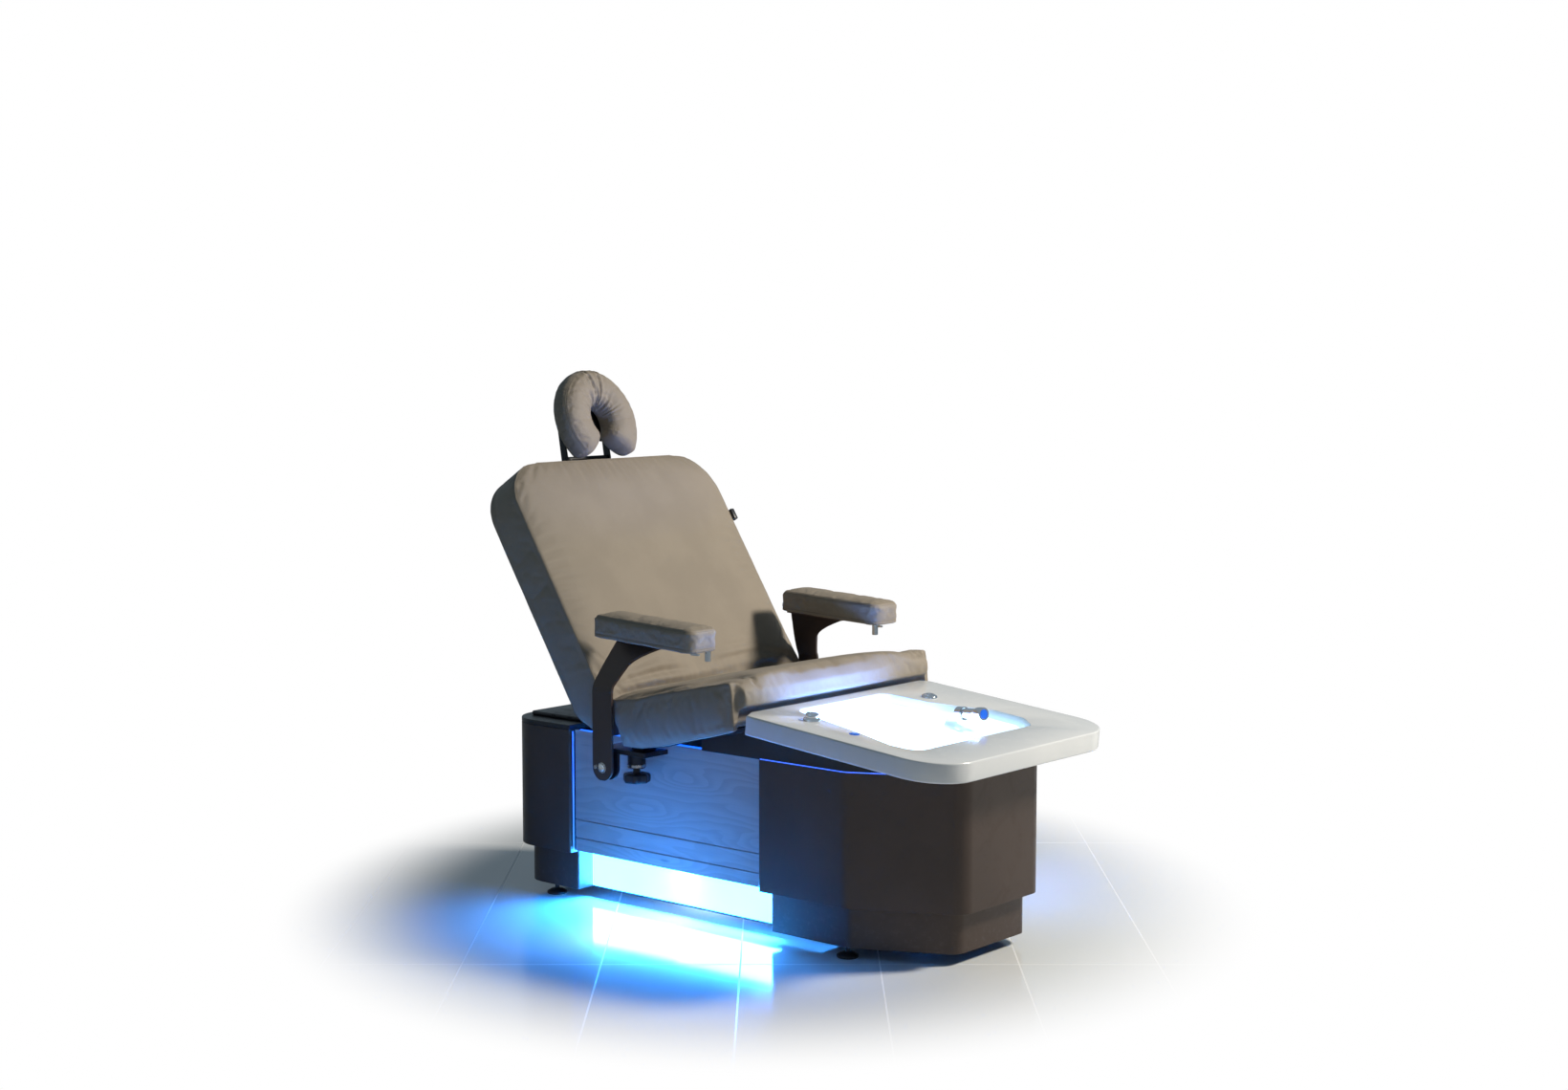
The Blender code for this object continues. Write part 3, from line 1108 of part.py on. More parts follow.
def add_arm(side_name, side, seat, leather, steel, dark, chrome, plastic):
    """One armrest: sliding mount with its clamp knob, swinging bracket, pad, socket and screw."""
    pivot = (ARM_PIVOT_X, side * ARM_PLATE_INNER, ARM_PIVOT_Z)
    outer = ARM_PLATE_INNER - SEAT_GAP
    tongue = ARM_PLATE_INNER - MOUNT_SPACER
    mount_body = add_body("arm_mount_" + side_name, (CLAMP_X, side * CLAMP_Y, MOUNT_BAR_TOP), seat)
    points = circle_points((ARM_PIVOT_X, ARM_PIVOT_Z), ARM_HALF_WIDTH, 28)
    points += [(ARM_PIVOT_X - ARM_HALF_WIDTH, MOUNT_BAR_TOP), (ARM_PIVOT_X + ARM_HALF_WIDTH, MOUNT_BAR_TOP)]
    mount = add_part("arm_mount_" + side_name,
                     prism(hull_outline(points), "Y", side * (tongue - MOUNT_TONGUE), side * tongue),
                     dark, mount_body)
    bar = box((ARM_PIVOT_X - ARM_HALF_WIDTH, MOUNT_BAR_FRONT_X),
              sorted((side * MOUNT_INNER, side * tongue)), (MOUNT_BAR_BOTTOM, MOUNT_BAR_TOP))
    weld(mount, bar)
    block_y = MOUNT_INNER + OVERRUN
    block = box((CLAMP_X + 0.010, CLAMP_X + 0.055), sorted((side * block_y, side * (block_y + MOUNT_BLOCK))),
                (MOUNT_BAR_TOP - 0.002, SEAT_BOTTOM[0][1] - SEAT_GAP))
    weld(mount, block)
    weld(mount, rod((ARM_PIVOT_X, side * (tongue - 2.0 * WELD_DEPTH), ARM_PIVOT_Z),
                    (ARM_PIVOT_X, side * outer, ARM_PIVOT_Z), MOUNT_BOSS, 24))
    weld(mount, rod((CLAMP_X, side * CLAMP_Y, CLAMP_BOTTOM),
                    (CLAMP_X, side * CLAMP_Y, MOUNT_BAR_BOTTOM + 4.0 * WELD_DEPTH), CLAMP_RADIUS, 28))
    cut(mount, rod((ARM_PIVOT_X, side * (tongue - 3.0 * OVERRUN), ARM_PIVOT_Z),
                   (ARM_PIVOT_X, side * (outer + OVERRUN), ARM_PIVOT_Z), ARM_BOLT_RADIUS + SEAT_GAP, 20))

    start = tongue - MOUNT_TONGUE + 0.001
    reach = ARM_PLATE_INNER + ARM_PLATE + SEAT_GAP - start
    bolt = ((ARM_BOLT_RADIUS, 0.0), (ARM_BOLT_RADIUS, reach), (ARM_BOLT_HEAD, reach),
            (ARM_BOLT_HEAD, reach + 0.004), (ARM_BOLT_HEAD * 0.7, reach + 0.0065))
    add_part("pivot_bolt_" + side_name,
             turned(bolt, (ARM_PIVOT_X, side * start, ARM_PIVOT_Z), (0.0, side, 0.0), 20),
             chrome, mount_body, smooth=True)

    knob_body = add_body("star_knob_" + side_name, (CLAMP_X, side * CLAMP_Y, KNOB_TOP), mount_body)
    outline = []
    for i in range(KNOB_LOBES * 6):
        angle = 2.0 * math.pi * i / (KNOB_LOBES * 6)
        reach = KNOB_RADIUS * (0.91 + 0.09 * math.cos(KNOB_LOBES * angle))
        outline.append((CLAMP_X + reach * math.cos(angle), side * CLAMP_Y + reach * math.sin(angle)))
    knob = add_part("star_knob_" + side_name, prism(outline, "Z", KNOB_BOTTOM, KNOB_TOP), plastic, knob_body)
    weld(knob, rod((CLAMP_X, side * CLAMP_Y, KNOB_TOP - 0.004),
                   (CLAMP_X, side * CLAMP_Y, CLAMP_BOTTOM - SEAT_GAP), KNOB_STEM, 20))

    body = add_body("armrest_" + side_name, pivot, mount_body)
    bracket = add_part("arm_bracket_" + side_name, loft(bracket_rings(side)), steel, body)
    span = (ARM_PIVOT_X - ARM_HALF_WIDTH + 0.030, ARM_PIVOT_X + ARM_HALF_WIDTH + 0.160)
    flange = [(x, pad_under(x) - SEAT_GAP) for x in span]
    flange += [(x, pad_under(x) - SEAT_GAP - FLANGE_THICKNESS) for x in span[::-1]]
    weld(bracket, prism(flange, "Y", side * (PAD_INNER + 0.010), side * (PAD_INNER + PAD_WIDTH - 0.030)))
    cut(bracket, rod((ARM_PIVOT_X, side * (outer - 0.01), ARM_PIVOT_Z),
                     (ARM_PIVOT_X, side * (outer + ARM_PLATE + 0.02), ARM_PIVOT_Z),
                     ARM_BOLT_RADIUS + SEAT_GAP, 20))

    inner, wide = PAD_INNER, PAD_WIDTH
    rings = []
    for inset, h in ((0.000, 0.0), (0.000, 0.007), (0.002, 0.009), (0.0005, 0.014), (0.002, 0.030),
                     (0.001, PAD_THICKNESS - 0.010), (0.004, PAD_THICKNESS - 0.003),
                     (0.010, PAD_THICKNESS), (0.025, PAD_THICKNESS + 0.6 * PAD_CROWN),
                     (0.045, PAD_THICKNESS + PAD_CROWN)):
        corners = [(inset, inner + inset), (PAD_LENGTH - inset, inner + inset),
                   (PAD_LENGTH - inset, inner + wide - inset), (inset, inner + wide - inset)]
        front = max(PAD_FRONT_CORNER - inset, 0.006)
        back = max(PAD_BACK_CORNER - inset, 0.004)
        outline = rounded(corners, [back, front, front, back], 6)
        rings.append([pad_point(a, side * y, h) for a, y in outline])
    add_part("armrest_pad_" + side_name, loft(rings), leather, body, smooth=True)

    x = pad_point(PAD_LENGTH - SOCKET_FROM_FRONT - SOCKET_RADIUS, 0.0, 0.0).x
    top = pad_under(x + SOCKET_RADIUS) - SEAT_GAP
    tube = ((SOCKET_BORE, 0.0), (SOCKET_BORE, -SOCKET_LENGTH), (SOCKET_RADIUS, -SOCKET_LENGTH),
            (SOCKET_RADIUS, 0.0))
    add_part("tray_socket_" + side_name, turned(tube, (x, side * SOCKET_Y, top), (0.0, 0.0, 1.0), 20, True),
             chrome, body, smooth=True)
    x -= 0.014
    top = pad_under(x + 0.003) - SEAT_GAP
    screw_body = add_body("thumb_screw_" + side_name, (x, side * SCREW_Y, top), body)
    screw = add_part("thumb_screw_" + side_name,
                     rod((x, side * SCREW_Y, top - SCREW_LENGTH), (x, side * SCREW_Y, top), 0.0035, 16),
                     chrome, screw_body)
    weld(screw, box((x - 0.013, x + 0.013), sorted((side * (SCREW_Y - 0.004), side * (SCREW_Y + 0.004))),
                    (top - SCREW_LENGTH + 0.001, top - SCREW_LENGTH + 0.006)))


# ---------------------------------------------------------------- face cradle
def cradle_rings():
    """Rings along the horseshoe cushion, from one lobe's tip over the top to the other's."""
    stations = []
    steps = 22
    for i in range(steps + 1):
        stations.append((-CRADLE_SWEEP + 2.0 * CRADLE_SWEEP * i / steps, 0.0, 1.0))
    for angle, depth in ((-CRADLE_PLEAT - 0.02, 1.0), (-CRADLE_PLEAT, 0.955), (-CRADLE_PLEAT + 0.02, 1.0),
                         (CRADLE_PLEAT - 0.02, 1.0), (CRADLE_PLEAT, 0.955), (CRADLE_PLEAT + 0.02, 1.0)):
        stations = [item for item in stations if abs(item[0] - angle) > 0.015] + [(angle, 0.0, depth)]
    stations.sort()
    caps = [(0.021, 0.42), (0.017, 0.68), (0.010, 0.88)]
    full = [(-CRADLE_SWEEP, run, size) for run, size in caps] + stations
    full += [(CRADLE_SWEEP, run, size) for run, size in caps[::-1]]
    count = 16
    rings = []
    for angle, run, size in full:
        sine, cosine = math.sin(angle), math.cos(angle)
        centre = Vector((CRADLE_HALF_WIDTH * sine, CRADLE_RISE * cosine))
        out = Vector((sine / CRADLE_HALF_WIDTH, cosine / CRADLE_RISE)).normalized()
        tangent = Vector((out.y, -out.x)) * (1.0 if angle > 0.0 else -1.0)
        centre += tangent * run
        ring = []
        for j in range(count):
            turn = 2.0 * math.pi * (j + 0.5) / count
            wide, deep = math.cos(turn), math.sin(turn)
            wide = math.copysign(abs(wide) ** 0.75, wide)
            power = 0.75 if deep > 0.0 else 0.45
            deep = math.copysign(abs(deep) ** power, deep)
            flat_point = centre + out * (CRADLE_PAD_HALF * size * wide)
            m = -CRADLE_THICKNESS / 2.0 + CRADLE_THICKNESS / 2.0 * size * deep
            ring.append(cradle_point(flat_point.x, flat_point.y, m))
        rings.append(ring)
    return rings


def add_head(back, leather, dark):
    """Rods in the backrest, side links, and the face cradle on its platform."""
    bar = back_point(0.0, CROSSBAR_U, ROD_M)
    link_inner = PLATFORM_HALF_WIDTH + SEAT_GAP
    reach = link_inner + LINK_THICKNESS + 0.0015
    slide = add_body("head_slide", bar, back)
    frame = add_part("head_frame", rod(bar - Vector((0.0, reach, 0.0)), bar + Vector((0.0, reach, 0.0)),
                                       CROSSBAR_RADIUS, 20), dark, slide)
    for _, side in SIDES:
        weld(frame, rod(back_point(side * ROD_Y, ROD_BOTTOM_U, ROD_M),
                        back_point(side * ROD_Y, CROSSBAR_U, ROD_M), ROD_RADIUS, 16))

    links = add_body("cradle_links", bar, slide)
    pivot = cradle_point(0.0, CRADLE_PIVOT_V, CRADLE_PIVOT_M)
    outline = hull_outline(circle_points(flat(bar), LINK_HALF_WIDTH + 0.003, 24)
                           + circle_points(flat(pivot), LINK_HALF_WIDTH, 24))
    for side_name, side in SIDES:
        plate = prism(outline, "Y", side * link_inner, side * (link_inner + LINK_THICKNESS))
        link = add_part("cradle_link_" + side_name, plate, dark, links)
        for centre, radius in ((bar, CROSSBAR_RADIUS), (pivot, LINK_PIN_RADIUS)):
            cut(link, rod((centre.x, side * (link_inner - 0.01), centre.z),
                          (centre.x, side * (link_inner + LINK_THICKNESS + 0.01), centre.z),
                          radius + SEAT_GAP, 20))

    cradle = add_body("cradle", pivot, links)
    rear = -CRADLE_THICKNESS - SEAT_GAP
    half = PLATFORM_HALF_WIDTH
    slot = 0.034
    corners = [(-half, -0.050), (-slot, -0.050), (-slot, 0.030), (slot, 0.030), (slot, -0.050),
               (half, -0.050), (half, 0.115), (-half, 0.115)]
    plate = rounded(corners, [0.015, 0.010, 0.025, 0.025, 0.010, 0.015, 0.045, 0.045], 5)
    rings = [[cradle_point(y, v, m) for y, v in plate] for m in (rear, rear - PLATFORM_THICKNESS)]
    platform = add_part("cradle_platform", loft(rings), dark, cradle)
    for _, side in SIDES:
        points = circle_points(flat(pivot), LINK_HALF_WIDTH, 20)
        points += [flat(cradle_point(0.0, CRADLE_PIVOT_V + dv, rear - 0.001)) for dv in (-0.022, 0.022)]
        weld(platform, prism(hull_outline(points), "Y", side * (half - 0.008), side * half))
        weld(platform, rod((pivot.x, side * (half - 0.004), pivot.z), (pivot.x, side * reach, pivot.z),
                           LINK_PIN_RADIUS, 16))
    add_part("face_cradle", loft(cradle_rings()), leather, cradle, smooth=True)


# ---------------------------------------------------------------- assembly
def main():
    """Build the chair."""
    clear_scene()
    steel = make_material("bronze_steel", (0.115, 0.085, 0.066), 0.42, 0.6)
    dark = make_material("black_steel", (0.012, 0.012, 0.014), 0.5, 0.3)
    plastic = make_material("black_plastic", (0.014, 0.014, 0.016), 0.45)
    leather = make_material("taupe_leather", (0.30, 0.265, 0.215), 0.5)
    wood = make_material("pale_oak", (0.55, 0.42, 0.30), 0.5)
    plywood = make_material("black_plywood", (0.020, 0.020, 0.022), 0.6)
    alloy = make_material("column_aluminium", (0.55, 0.56, 0.58), 0.4, 0.9)
    stone = make_material("white_surface", (0.80, 0.82, 0.84), 0.25)
    chrome = make_material("chrome", (0.80, 0.80, 0.82), 0.12, 1.0)
    light = make_material("lit_diffuser", (0.75, 0.85, 1.0), 0.4)
    blue = make_material("blue_plastic", (0.02, 0.12, 0.55), 0.3)

    root = add_body("chair", (0.0, 0.0, 0.0))
    root.location.x = -MIDDLE_X
    add_base(root, steel, dark, light, plastic)
    add_feet(root, dark)
    carriage = add_body("carriage", (0.0, 0.0, 0.0), root)
    add_carriage(carriage, steel, dark, alloy, wood, plastic)
    add_basin(carriage, stone, chrome)
    add_basin_movers(carriage, chrome, blue)
    seat = add_body("seat", (TILT_X, 0.0, TILT_Z), carriage)
    add_seat(seat, leather, plywood)
    back = add_body("back", (HINGE_X, 0.0, HINGE_Z), seat)
    add_back(back, leather, plywood, plastic)
    for side_name, side in SIDES:
        add_arm(side_name, side, seat, leather, steel, dark, chrome, plastic)
    add_head(back, leather, dark)


main()
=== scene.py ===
"""Looks of the pedicure spa chair: upholstery, steelwork, oak, lit basin, lit base and the studio.

Every piece is drawn in metres in the frame of the packed model and rides on one of its bodies.
The drawing frame below has X = 0 at the rear edge of the front pedestal, as the part's source has.
"""
import json
import math

import bmesh
import bpy
import numpy as np
from mathutils import Matrix, Vector, noise
from mathutils.bvhtree import BVHTree
from mathutils.kdtree import KDTree

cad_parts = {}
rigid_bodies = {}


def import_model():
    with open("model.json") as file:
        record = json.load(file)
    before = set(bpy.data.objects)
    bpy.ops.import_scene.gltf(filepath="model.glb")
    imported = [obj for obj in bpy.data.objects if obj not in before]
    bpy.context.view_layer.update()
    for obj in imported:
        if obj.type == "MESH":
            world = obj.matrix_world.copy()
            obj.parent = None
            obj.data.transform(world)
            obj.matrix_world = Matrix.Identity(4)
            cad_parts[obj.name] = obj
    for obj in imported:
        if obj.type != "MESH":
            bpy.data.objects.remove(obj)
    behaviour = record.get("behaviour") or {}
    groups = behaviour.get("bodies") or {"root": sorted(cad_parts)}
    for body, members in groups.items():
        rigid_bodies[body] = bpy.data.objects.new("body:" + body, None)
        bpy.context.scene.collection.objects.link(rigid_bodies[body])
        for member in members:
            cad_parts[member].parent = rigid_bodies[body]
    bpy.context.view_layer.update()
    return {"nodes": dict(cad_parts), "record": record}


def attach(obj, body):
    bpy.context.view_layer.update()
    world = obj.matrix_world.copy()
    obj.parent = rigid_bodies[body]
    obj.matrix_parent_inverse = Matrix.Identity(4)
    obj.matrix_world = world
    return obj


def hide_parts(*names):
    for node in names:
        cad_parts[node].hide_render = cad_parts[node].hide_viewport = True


bl_info = {
    "name": "Pedicure Chair Looks",
    "version": (1, 0, 0),
    "blender": (4, 5, 0),
    "location": "3D View > Sidebar > Pedicure Chair",
    "description": "Dresses the packed pedicure chair and lights it",
    "category": "Object",
}

for leftover in list(bpy.data.objects):
    bpy.data.objects.remove(leftover, do_unlink=True)
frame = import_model()
BODY_OF = {node: body for body, nodes in frame["record"]["behaviour"]["bodies"].items() for node in nodes}
SLOT_OF = {row["node"]: row["material_slot"] for row in frame["record"]["subparts"]}

# ---------------------------------------------------------------- sizes of the drawing frame
SHIFT = Vector((0.1641868, 0.0, 0.0))        # from the drawing frame to the packed model's
SIDES = (("right", -1.0), ("left", 1.0))
SHEET = 0.003
SHELL_HALF_WIDTH = 0.3127
SHELL_BOTTOM = 0.1417
SHELL_TOP = 0.4973
SHELL_RETURN = 0.030
SHELL_BEND = 0.056
SMALL_BEND = 0.006
PLINTH_INSET = 0.032
FRONT_LENGTH = 0.5736
CHAMFER_START = 0.285
CHAMFER_HALF_FRONT = 0.150
REAR_NEAR_X = -0.711
REAR_FAR_X = -0.967
REAR_CORNER = 0.100
CAP_TOP = 0.5118
COVER_TOP = 0.524
COVER_HALF_WIDTH = 0.250
PANEL_FACE = 0.293
LED_FACE = 0.224
LED_SPAN = (-0.7107, 0.0177)
INLET_PITCH = 0.0048
BAND_RAIL_Z = (0.0290, 0.0336)
# painted glow line along the front shell's top edge: inset and height of its rings
PAINTED_TOP_GLOW = ((0.0024, 0.0006), (0.0024, 0.0034), (0.0042, 0.0034), (0.0042, 0.0006))   # inset, height
COVER_SLOTS = (-0.847, -0.780)
SLOT_WIDTH = 0.015
SLAB_X = 0.0153
SLAB_Z = 0.6328
SLAB_TILT = math.radians(5.75)
SLAB_LENGTH = 0.6575
SLAB_HALF_WIDTH = 0.400
SLAB_THICKNESS = 0.0533
SLAB_ROUND = 0.005
SHELF_DEPTH = 0.022
TUB_WALL = 0.008
TUB_TO_SHELL = 0.0233           # from the shell's outer face to the room that the tub may fill
TUB_FREE = 0.002
TUB_FLOOR_Z = 0.452
TUB_CENTRE = (0.265, -0.060)
OPENING = (
    (0.050, -0.235, 0.040), (0.300, -0.281, 0.100), (0.430, -0.318, 0.060), (0.512, -0.310, 0.050),
    (0.512, 0.195, 0.030), (0.450, 0.252, 0.050), (0.345, 0.255, 0.030), (0.190, 0.168, 0.060),
    (0.050, 0.150, 0.040),
)
BOWL = (
    (0.060, -0.225, 0.040), (0.300, -0.270, 0.100), (0.430, -0.306, 0.060), (0.500, -0.298, 0.050),
    (0.500, 0.010, 0.040), (0.330, 0.060, 0.040), (0.270, 0.150, 0.030), (0.190, 0.156, 0.060),
    (0.060, 0.140, 0.040),
)
MIXER = (0.150, -0.288)
BUTTON = (0.151, 0.224)
BLUE_BUTTON = (0.309, -0.309)
DOT_RING = 0.0077               # radius of the dots on the chrome button
SHOWER_BACK = (0.326, 0.120, 0.004)
SHOWER_TIP = (0.428, 0.092, 0.026)
SEAT_HALF_WIDTH = 0.4305
SEAT_TOP = ((0.000, 0.720), (-0.142, 0.688), (-0.281, 0.655), (-0.352, 0.639), (-0.400, 0.634),
            (-0.447, 0.631))
SEAT_BOTTOM = ((-0.392, 0.500), (-0.330, 0.500), (-0.250, 0.5145), (-0.010, 0.577))
SEAT_SEAM_INSET = 0.002
SEAT_TOP_POINTS = 30            # along a side's top edge, before its cheek
SOCKET_PLACE = (-0.094, 0.362)  # where a lowered armrest's tray socket comes near the seat's top
SOCKET_LOW = 0.660              # the seat's top lies above this there
SOCKET_ROOM = 0.035
FOLD_SIZES = ((0.009, 0.0075), (0.011, 0.0062), (0.012, 0.0048))      # width and depth
RIGHT_FOLDS = (                 # points (x, y) on the seat's top
    ((-0.430, -0.400), (-0.375, -0.230), (-0.335, -0.020), (-0.34, 0.10)),
    ((-0.415, -0.422), (-0.315, -0.330), (-0.215, -0.160), (-0.180, -0.020)),
    ((-0.370, -0.424), (-0.280, -0.400), (-0.175, -0.385)),
)
LEFT_FOLDS = (                  # as seen in a mirror
    ((-0.425, -0.400), (-0.385, -0.260), (-0.370, -0.090)),
    ((-0.380, -0.424), (-0.310, -0.350), (-0.250, -0.240)),
)
CHEEK_FRONT = ((0.004, 0.716), (0.008, 0.695), (0.013, 0.640), (0.017, 0.607), (0.019, 0.592))
RECLINE = math.radians(32.5)
BACK_X = -0.4507
BACK_Z = 0.6136
BACK_LENGTH = 0.769
BACK_HALF_WIDTH = 0.430
BACK_CORNERS = (0.030, 0.030, 0.140, 0.140)
BACK_REAR_SEAM = -0.127
BACK_REAR_LOW = 0.004
BOARD_FACE = -0.1515            # rear face of the back board
BACK_FOLDS = (                  # points across and up the back, width and depth
    (((-0.375, 0.044), (-0.297, 0.059), (-0.180, 0.066), (-0.080, 0.064)), 0.010, 0.0070),
    (((-0.370, 0.070), (-0.263, 0.092), (-0.160, 0.118)), 0.012, 0.0054),
    (((-0.400, 0.020), (-0.240, 0.026), (-0.060, 0.024), (0.120, 0.030)), 0.010, 0.0062),
    (((0.060, 0.104), (0.194, 0.109), (0.310, 0.092)), 0.011, 0.0050),
    (((0.050, 0.072), (0.250, 0.082), (0.400, 0.050)), 0.010, 0.0066),
    (((0.170, 0.030), (0.290, 0.036), (0.405, 0.024)), 0.010, 0.0050),
)
BACK_HEEL = ((0.004, -0.004), (-0.030, -0.014), (-0.060, -0.028), (-0.079, -0.070), (-0.052, -0.092),
             (0.004, -0.122))
ARM_CLEARANCE = 0.0065          # between the seat's side and the bracket
ARM_PLATE = 0.008
ARM_PIVOT_X = -0.4495
ARM_PIVOT_Z = 0.440
LOCK_SCREW_X = -0.4735
BOLT_INSIDE = 0.0235            # how far the pivot bolt runs inward of the bracket's plate
CLAMP_X = -0.400
CLAMP_SETBACK = 0.077           # from the bracket's plate
PAD_BACK_X = -0.470
PAD_LENGTH = 0.360
PAD_INNER = 0.337
PAD_WIDTH = 0.119
PAD_TOP_Z = 0.861
PAD_THICKNESS = 0.060
PAD_TILT = math.radians(2.85)
CRADLE_U = 0.8712
CRADLE_M = 0.0582
CRADLE_LEAN = math.radians(22.0)
CRADLE_HALF_WIDTH = 0.0910
CRADLE_RISE = 0.1020
CRADLE_PAD_HALF = 0.0520
CRADLE_THICKNESS = 0.076
CRADLE_SWEEP = math.radians(132.5)
CRADLE_PLEAT = math.radians(9.0)
PLEAT_LINE = ((-0.88, 0.66), (-0.45, 0.95), (0.0, 1.0), (0.45, 0.95), (0.90, 0.62), (0.99, 0.1))
PEBBLE_WANDER = 0.0016          # how far the leather's pebbles stray from a plain cell pattern
SCUFF_HEIGHT = 0.22             # up to this height the chair picks up scuffs
DUST = (0.36, 0.34, 0.32)
CLOTH_FRAMES = 20
CLOTH_PRESSURE = 4.0


# ---------------------------------------------------------------- settings that a user may change
def length_setting(name, text, default):
    """A length in metres."""
    return bpy.props.FloatProperty(name=name, description=text, default=default, min=0.0,
                                   subtype="DISTANCE", unit="LENGTH")


def colour_setting(name, text, default):
    """A linear colour."""
    return bpy.props.FloatVectorProperty(name=name, description=text, default=default, size=3,
                                         min=0.0, max=1.0, subtype="COLOR")


def plain_setting(name, text, default):
    """A strength or a share."""
    return bpy.props.FloatProperty(name=name, description=text, default=default, min=0.0)


def power_setting(name, text, default):
    """The power of a lamp in watts."""
    return bpy.props.FloatProperty(name=name, description=text, default=default, min=0.0, unit="POWER")


class LeatherSettings(bpy.types.PropertyGroup):
    """The taupe upholstery."""
    colour: colour_setting("Colour", "Base colour of the upholstery", (0.325, 0.275, 0.215))
    grain: length_setting("Grain", "Size of one pebble of the grain", 0.0013)
    stitch: length_setting("Stitch", "Length of one stitch", 0.0034)
    pitch: length_setting("Pitch", "Distance from stitch to stitch", 0.0052)
    thread: length_setting("Thread", "Radius of the sewing thread", 0.00045)


class SteelSettings(bpy.types.PropertyGroup):
    """Bronze and black steel."""
    bronze: colour_setting("Bronze", "Powder coat of the pedestals and brackets", (0.068, 0.047, 0.038))
    black: colour_setting("Black", "Powder coat of frames and rails", (0.012, 0.012, 0.014))
    roughness: plain_setting("Roughness", "Roughness of the bronze coat", 0.40)


class OakSettings(bpy.types.PropertyGroup):
    """The side panels."""
    pale: colour_setting("Pale", "Early wood", (0.46, 0.385, 0.35))
    dark: colour_setting("Dark", "Late wood and knots", (0.27, 0.20, 0.165))
    ring: length_setting("Ring", "Spacing of the rings on the face", 0.034)


class GlowSettings(bpy.types.PropertyGroup):
    """Lights in the chair."""
    band: colour_setting("Band", "Colour of the light band", (0.026, 0.27, 1.0))
    band_strength: plain_setting("Band strength", "Strength of the light band in view", 26.0)
    band_cast: plain_setting("Band cast", "Strength with which the band lights the floor", 150.0)
    # line and line_strength also colour the painted glow lines along the carriage's edges
    line: colour_setting("Line", "Colour of the light lines", (0.0, 0.10, 1.0))
    line_strength: plain_setting("Line strength", "Strength of the light lines in view", 1.3)
    wash_strength: plain_setting("Wash strength", "Strength of the hidden light lines", 16.0)
    bowl: colour_setting("Bowl", "Colour of the lit bowl", (0.42, 0.72, 1.0))
    bowl_strength: plain_setting("Bowl strength", "Strength of the lit bowl in view", 1.7)
    bowl_cast: plain_setting("Bowl cast", "Strength with which the bowl lights what is near it", 5.0)


class StageSettings(bpy.types.PropertyGroup):
    """Floor and lamps."""
    tile: colour_setting("Tile", "Colour of the floor tiles", (0.78, 0.80, 0.80))
    plank: length_setting("Plank", "Width of one row of tiles", 0.36)
    key: power_setting("Key", "Power of the key lamp", 238.0)
    fill: power_setting("Fill", "Power of the fill lamp", 5.0)
    glint: power_setting("Glint", "Power of the lamp in the bowl", 3.0)
    under: power_setting("Under", "Power of the lamps under the side panels", 1.2)
    bounce: power_setting("Bounce", "Power of the light thrown back by the lit floor", 5.6)
    ambient: plain_setting("Ambient", "Strength of the surrounding light", 0.085)


SETTINGS = (("chair_leather", LeatherSettings), ("chair_steel", SteelSettings), ("chair_oak", OakSettings),
            ("chair_glow", GlowSettings), ("chair_stage", StageSettings))


# ---------------------------------------------------------------- plane geometry
def fillet(before, corner, after, radius, steps):
    """The arc that rounds one corner of an outline."""
    corner = Vector(corner)
    back = Vector(before) - corner
    ahead = Vector(after) - corner
    half = back.angle(ahead) / 2.0
    reach = min(radius / math.tan(half), 0.49 * back.length, 0.49 * ahead.length)
    radius = reach * math.tan(half)
    if radius < 1e-5 or half > math.radians(89.5):
        return [tuple(corner)]
    bisector = (back.normalized() + ahead.normalized()).normalized()
    centre = corner + bisector * (radius / math.sin(half))
    first = corner + back.normalized() * reach - centre
    last = corner + ahead.normalized() * reach - centre
    turn = first.angle_signed(last)
    points = []
    for i in range(steps + 1):
        angle = -turn * i / steps
        points.append((centre.x + first.x * math.cos(angle) - first.y * math.sin(angle),
                       centre.y + first.x * math.sin(angle) + first.y * math.cos(angle)))
    return points


def rounded(points, radii, steps=12):
    """A closed outline with its corners rounded."""
    count = len(points)
    outline = []
    for i in range(count):
        outline += fillet(points[i - 1], points[i], points[(i + 1) % count], radii[i], steps)
    return outline


def rounded_path(points, radii, steps=12):
    """An open path with its inner corners rounded."""
    path = [points[0]]
    for i in range(1, len(points) - 1):
        path += fillet(points[i - 1], points[i], points[i + 1], radii[i], steps)
    return path + [points[-1]]


def offset_path(points, distance):
    """An open path moved to its left by distance, with mitred corners."""
    normals = []
    for a, b in zip(points, points[1:]):
        step = (Vector(b) - Vector(a)).normalized()
        normals.append(Vector((-step.y, step.x)))
    moved = [tuple(Vector(points[0]) + normals[0] * distance)]
    for i in range(1, len(points) - 1):
        mitre = (normals[i - 1] + normals[i]).normalized()
        moved.append(tuple(Vector(points[i]) + mitre * (distance / mitre.dot(normals[i]))))
    return moved + [tuple(Vector(points[-1]) + normals[-1] * distance)]


def folded_sheet(points, radii, thickness):
    """Outline of a sheet folded along a path, its thickness to the path's left."""
    inner_radii = [max(radius - thickness, 0.001) if radius else 0.0 for radius in radii]
    return rounded_path(points, radii) + rounded_path(offset_path(points, thickness), inner_radii)[::-1]


def mirrored(points):
    """A path followed by its mirror image in Y, end to end."""
    return list(points) + [(x, -y) for x, y in reversed(points)]


def height_on(line, x):
    """Height of a polyline of (x, z) points at x, running on straight past its ends."""
    ordered = sorted(line)
    for a, b in zip(ordered, ordered[1:]):
        if x <= b[0] or b is ordered[-1]:
            return a[1] + (b[1] - a[1]) * (x - a[0]) / (b[0] - a[0])


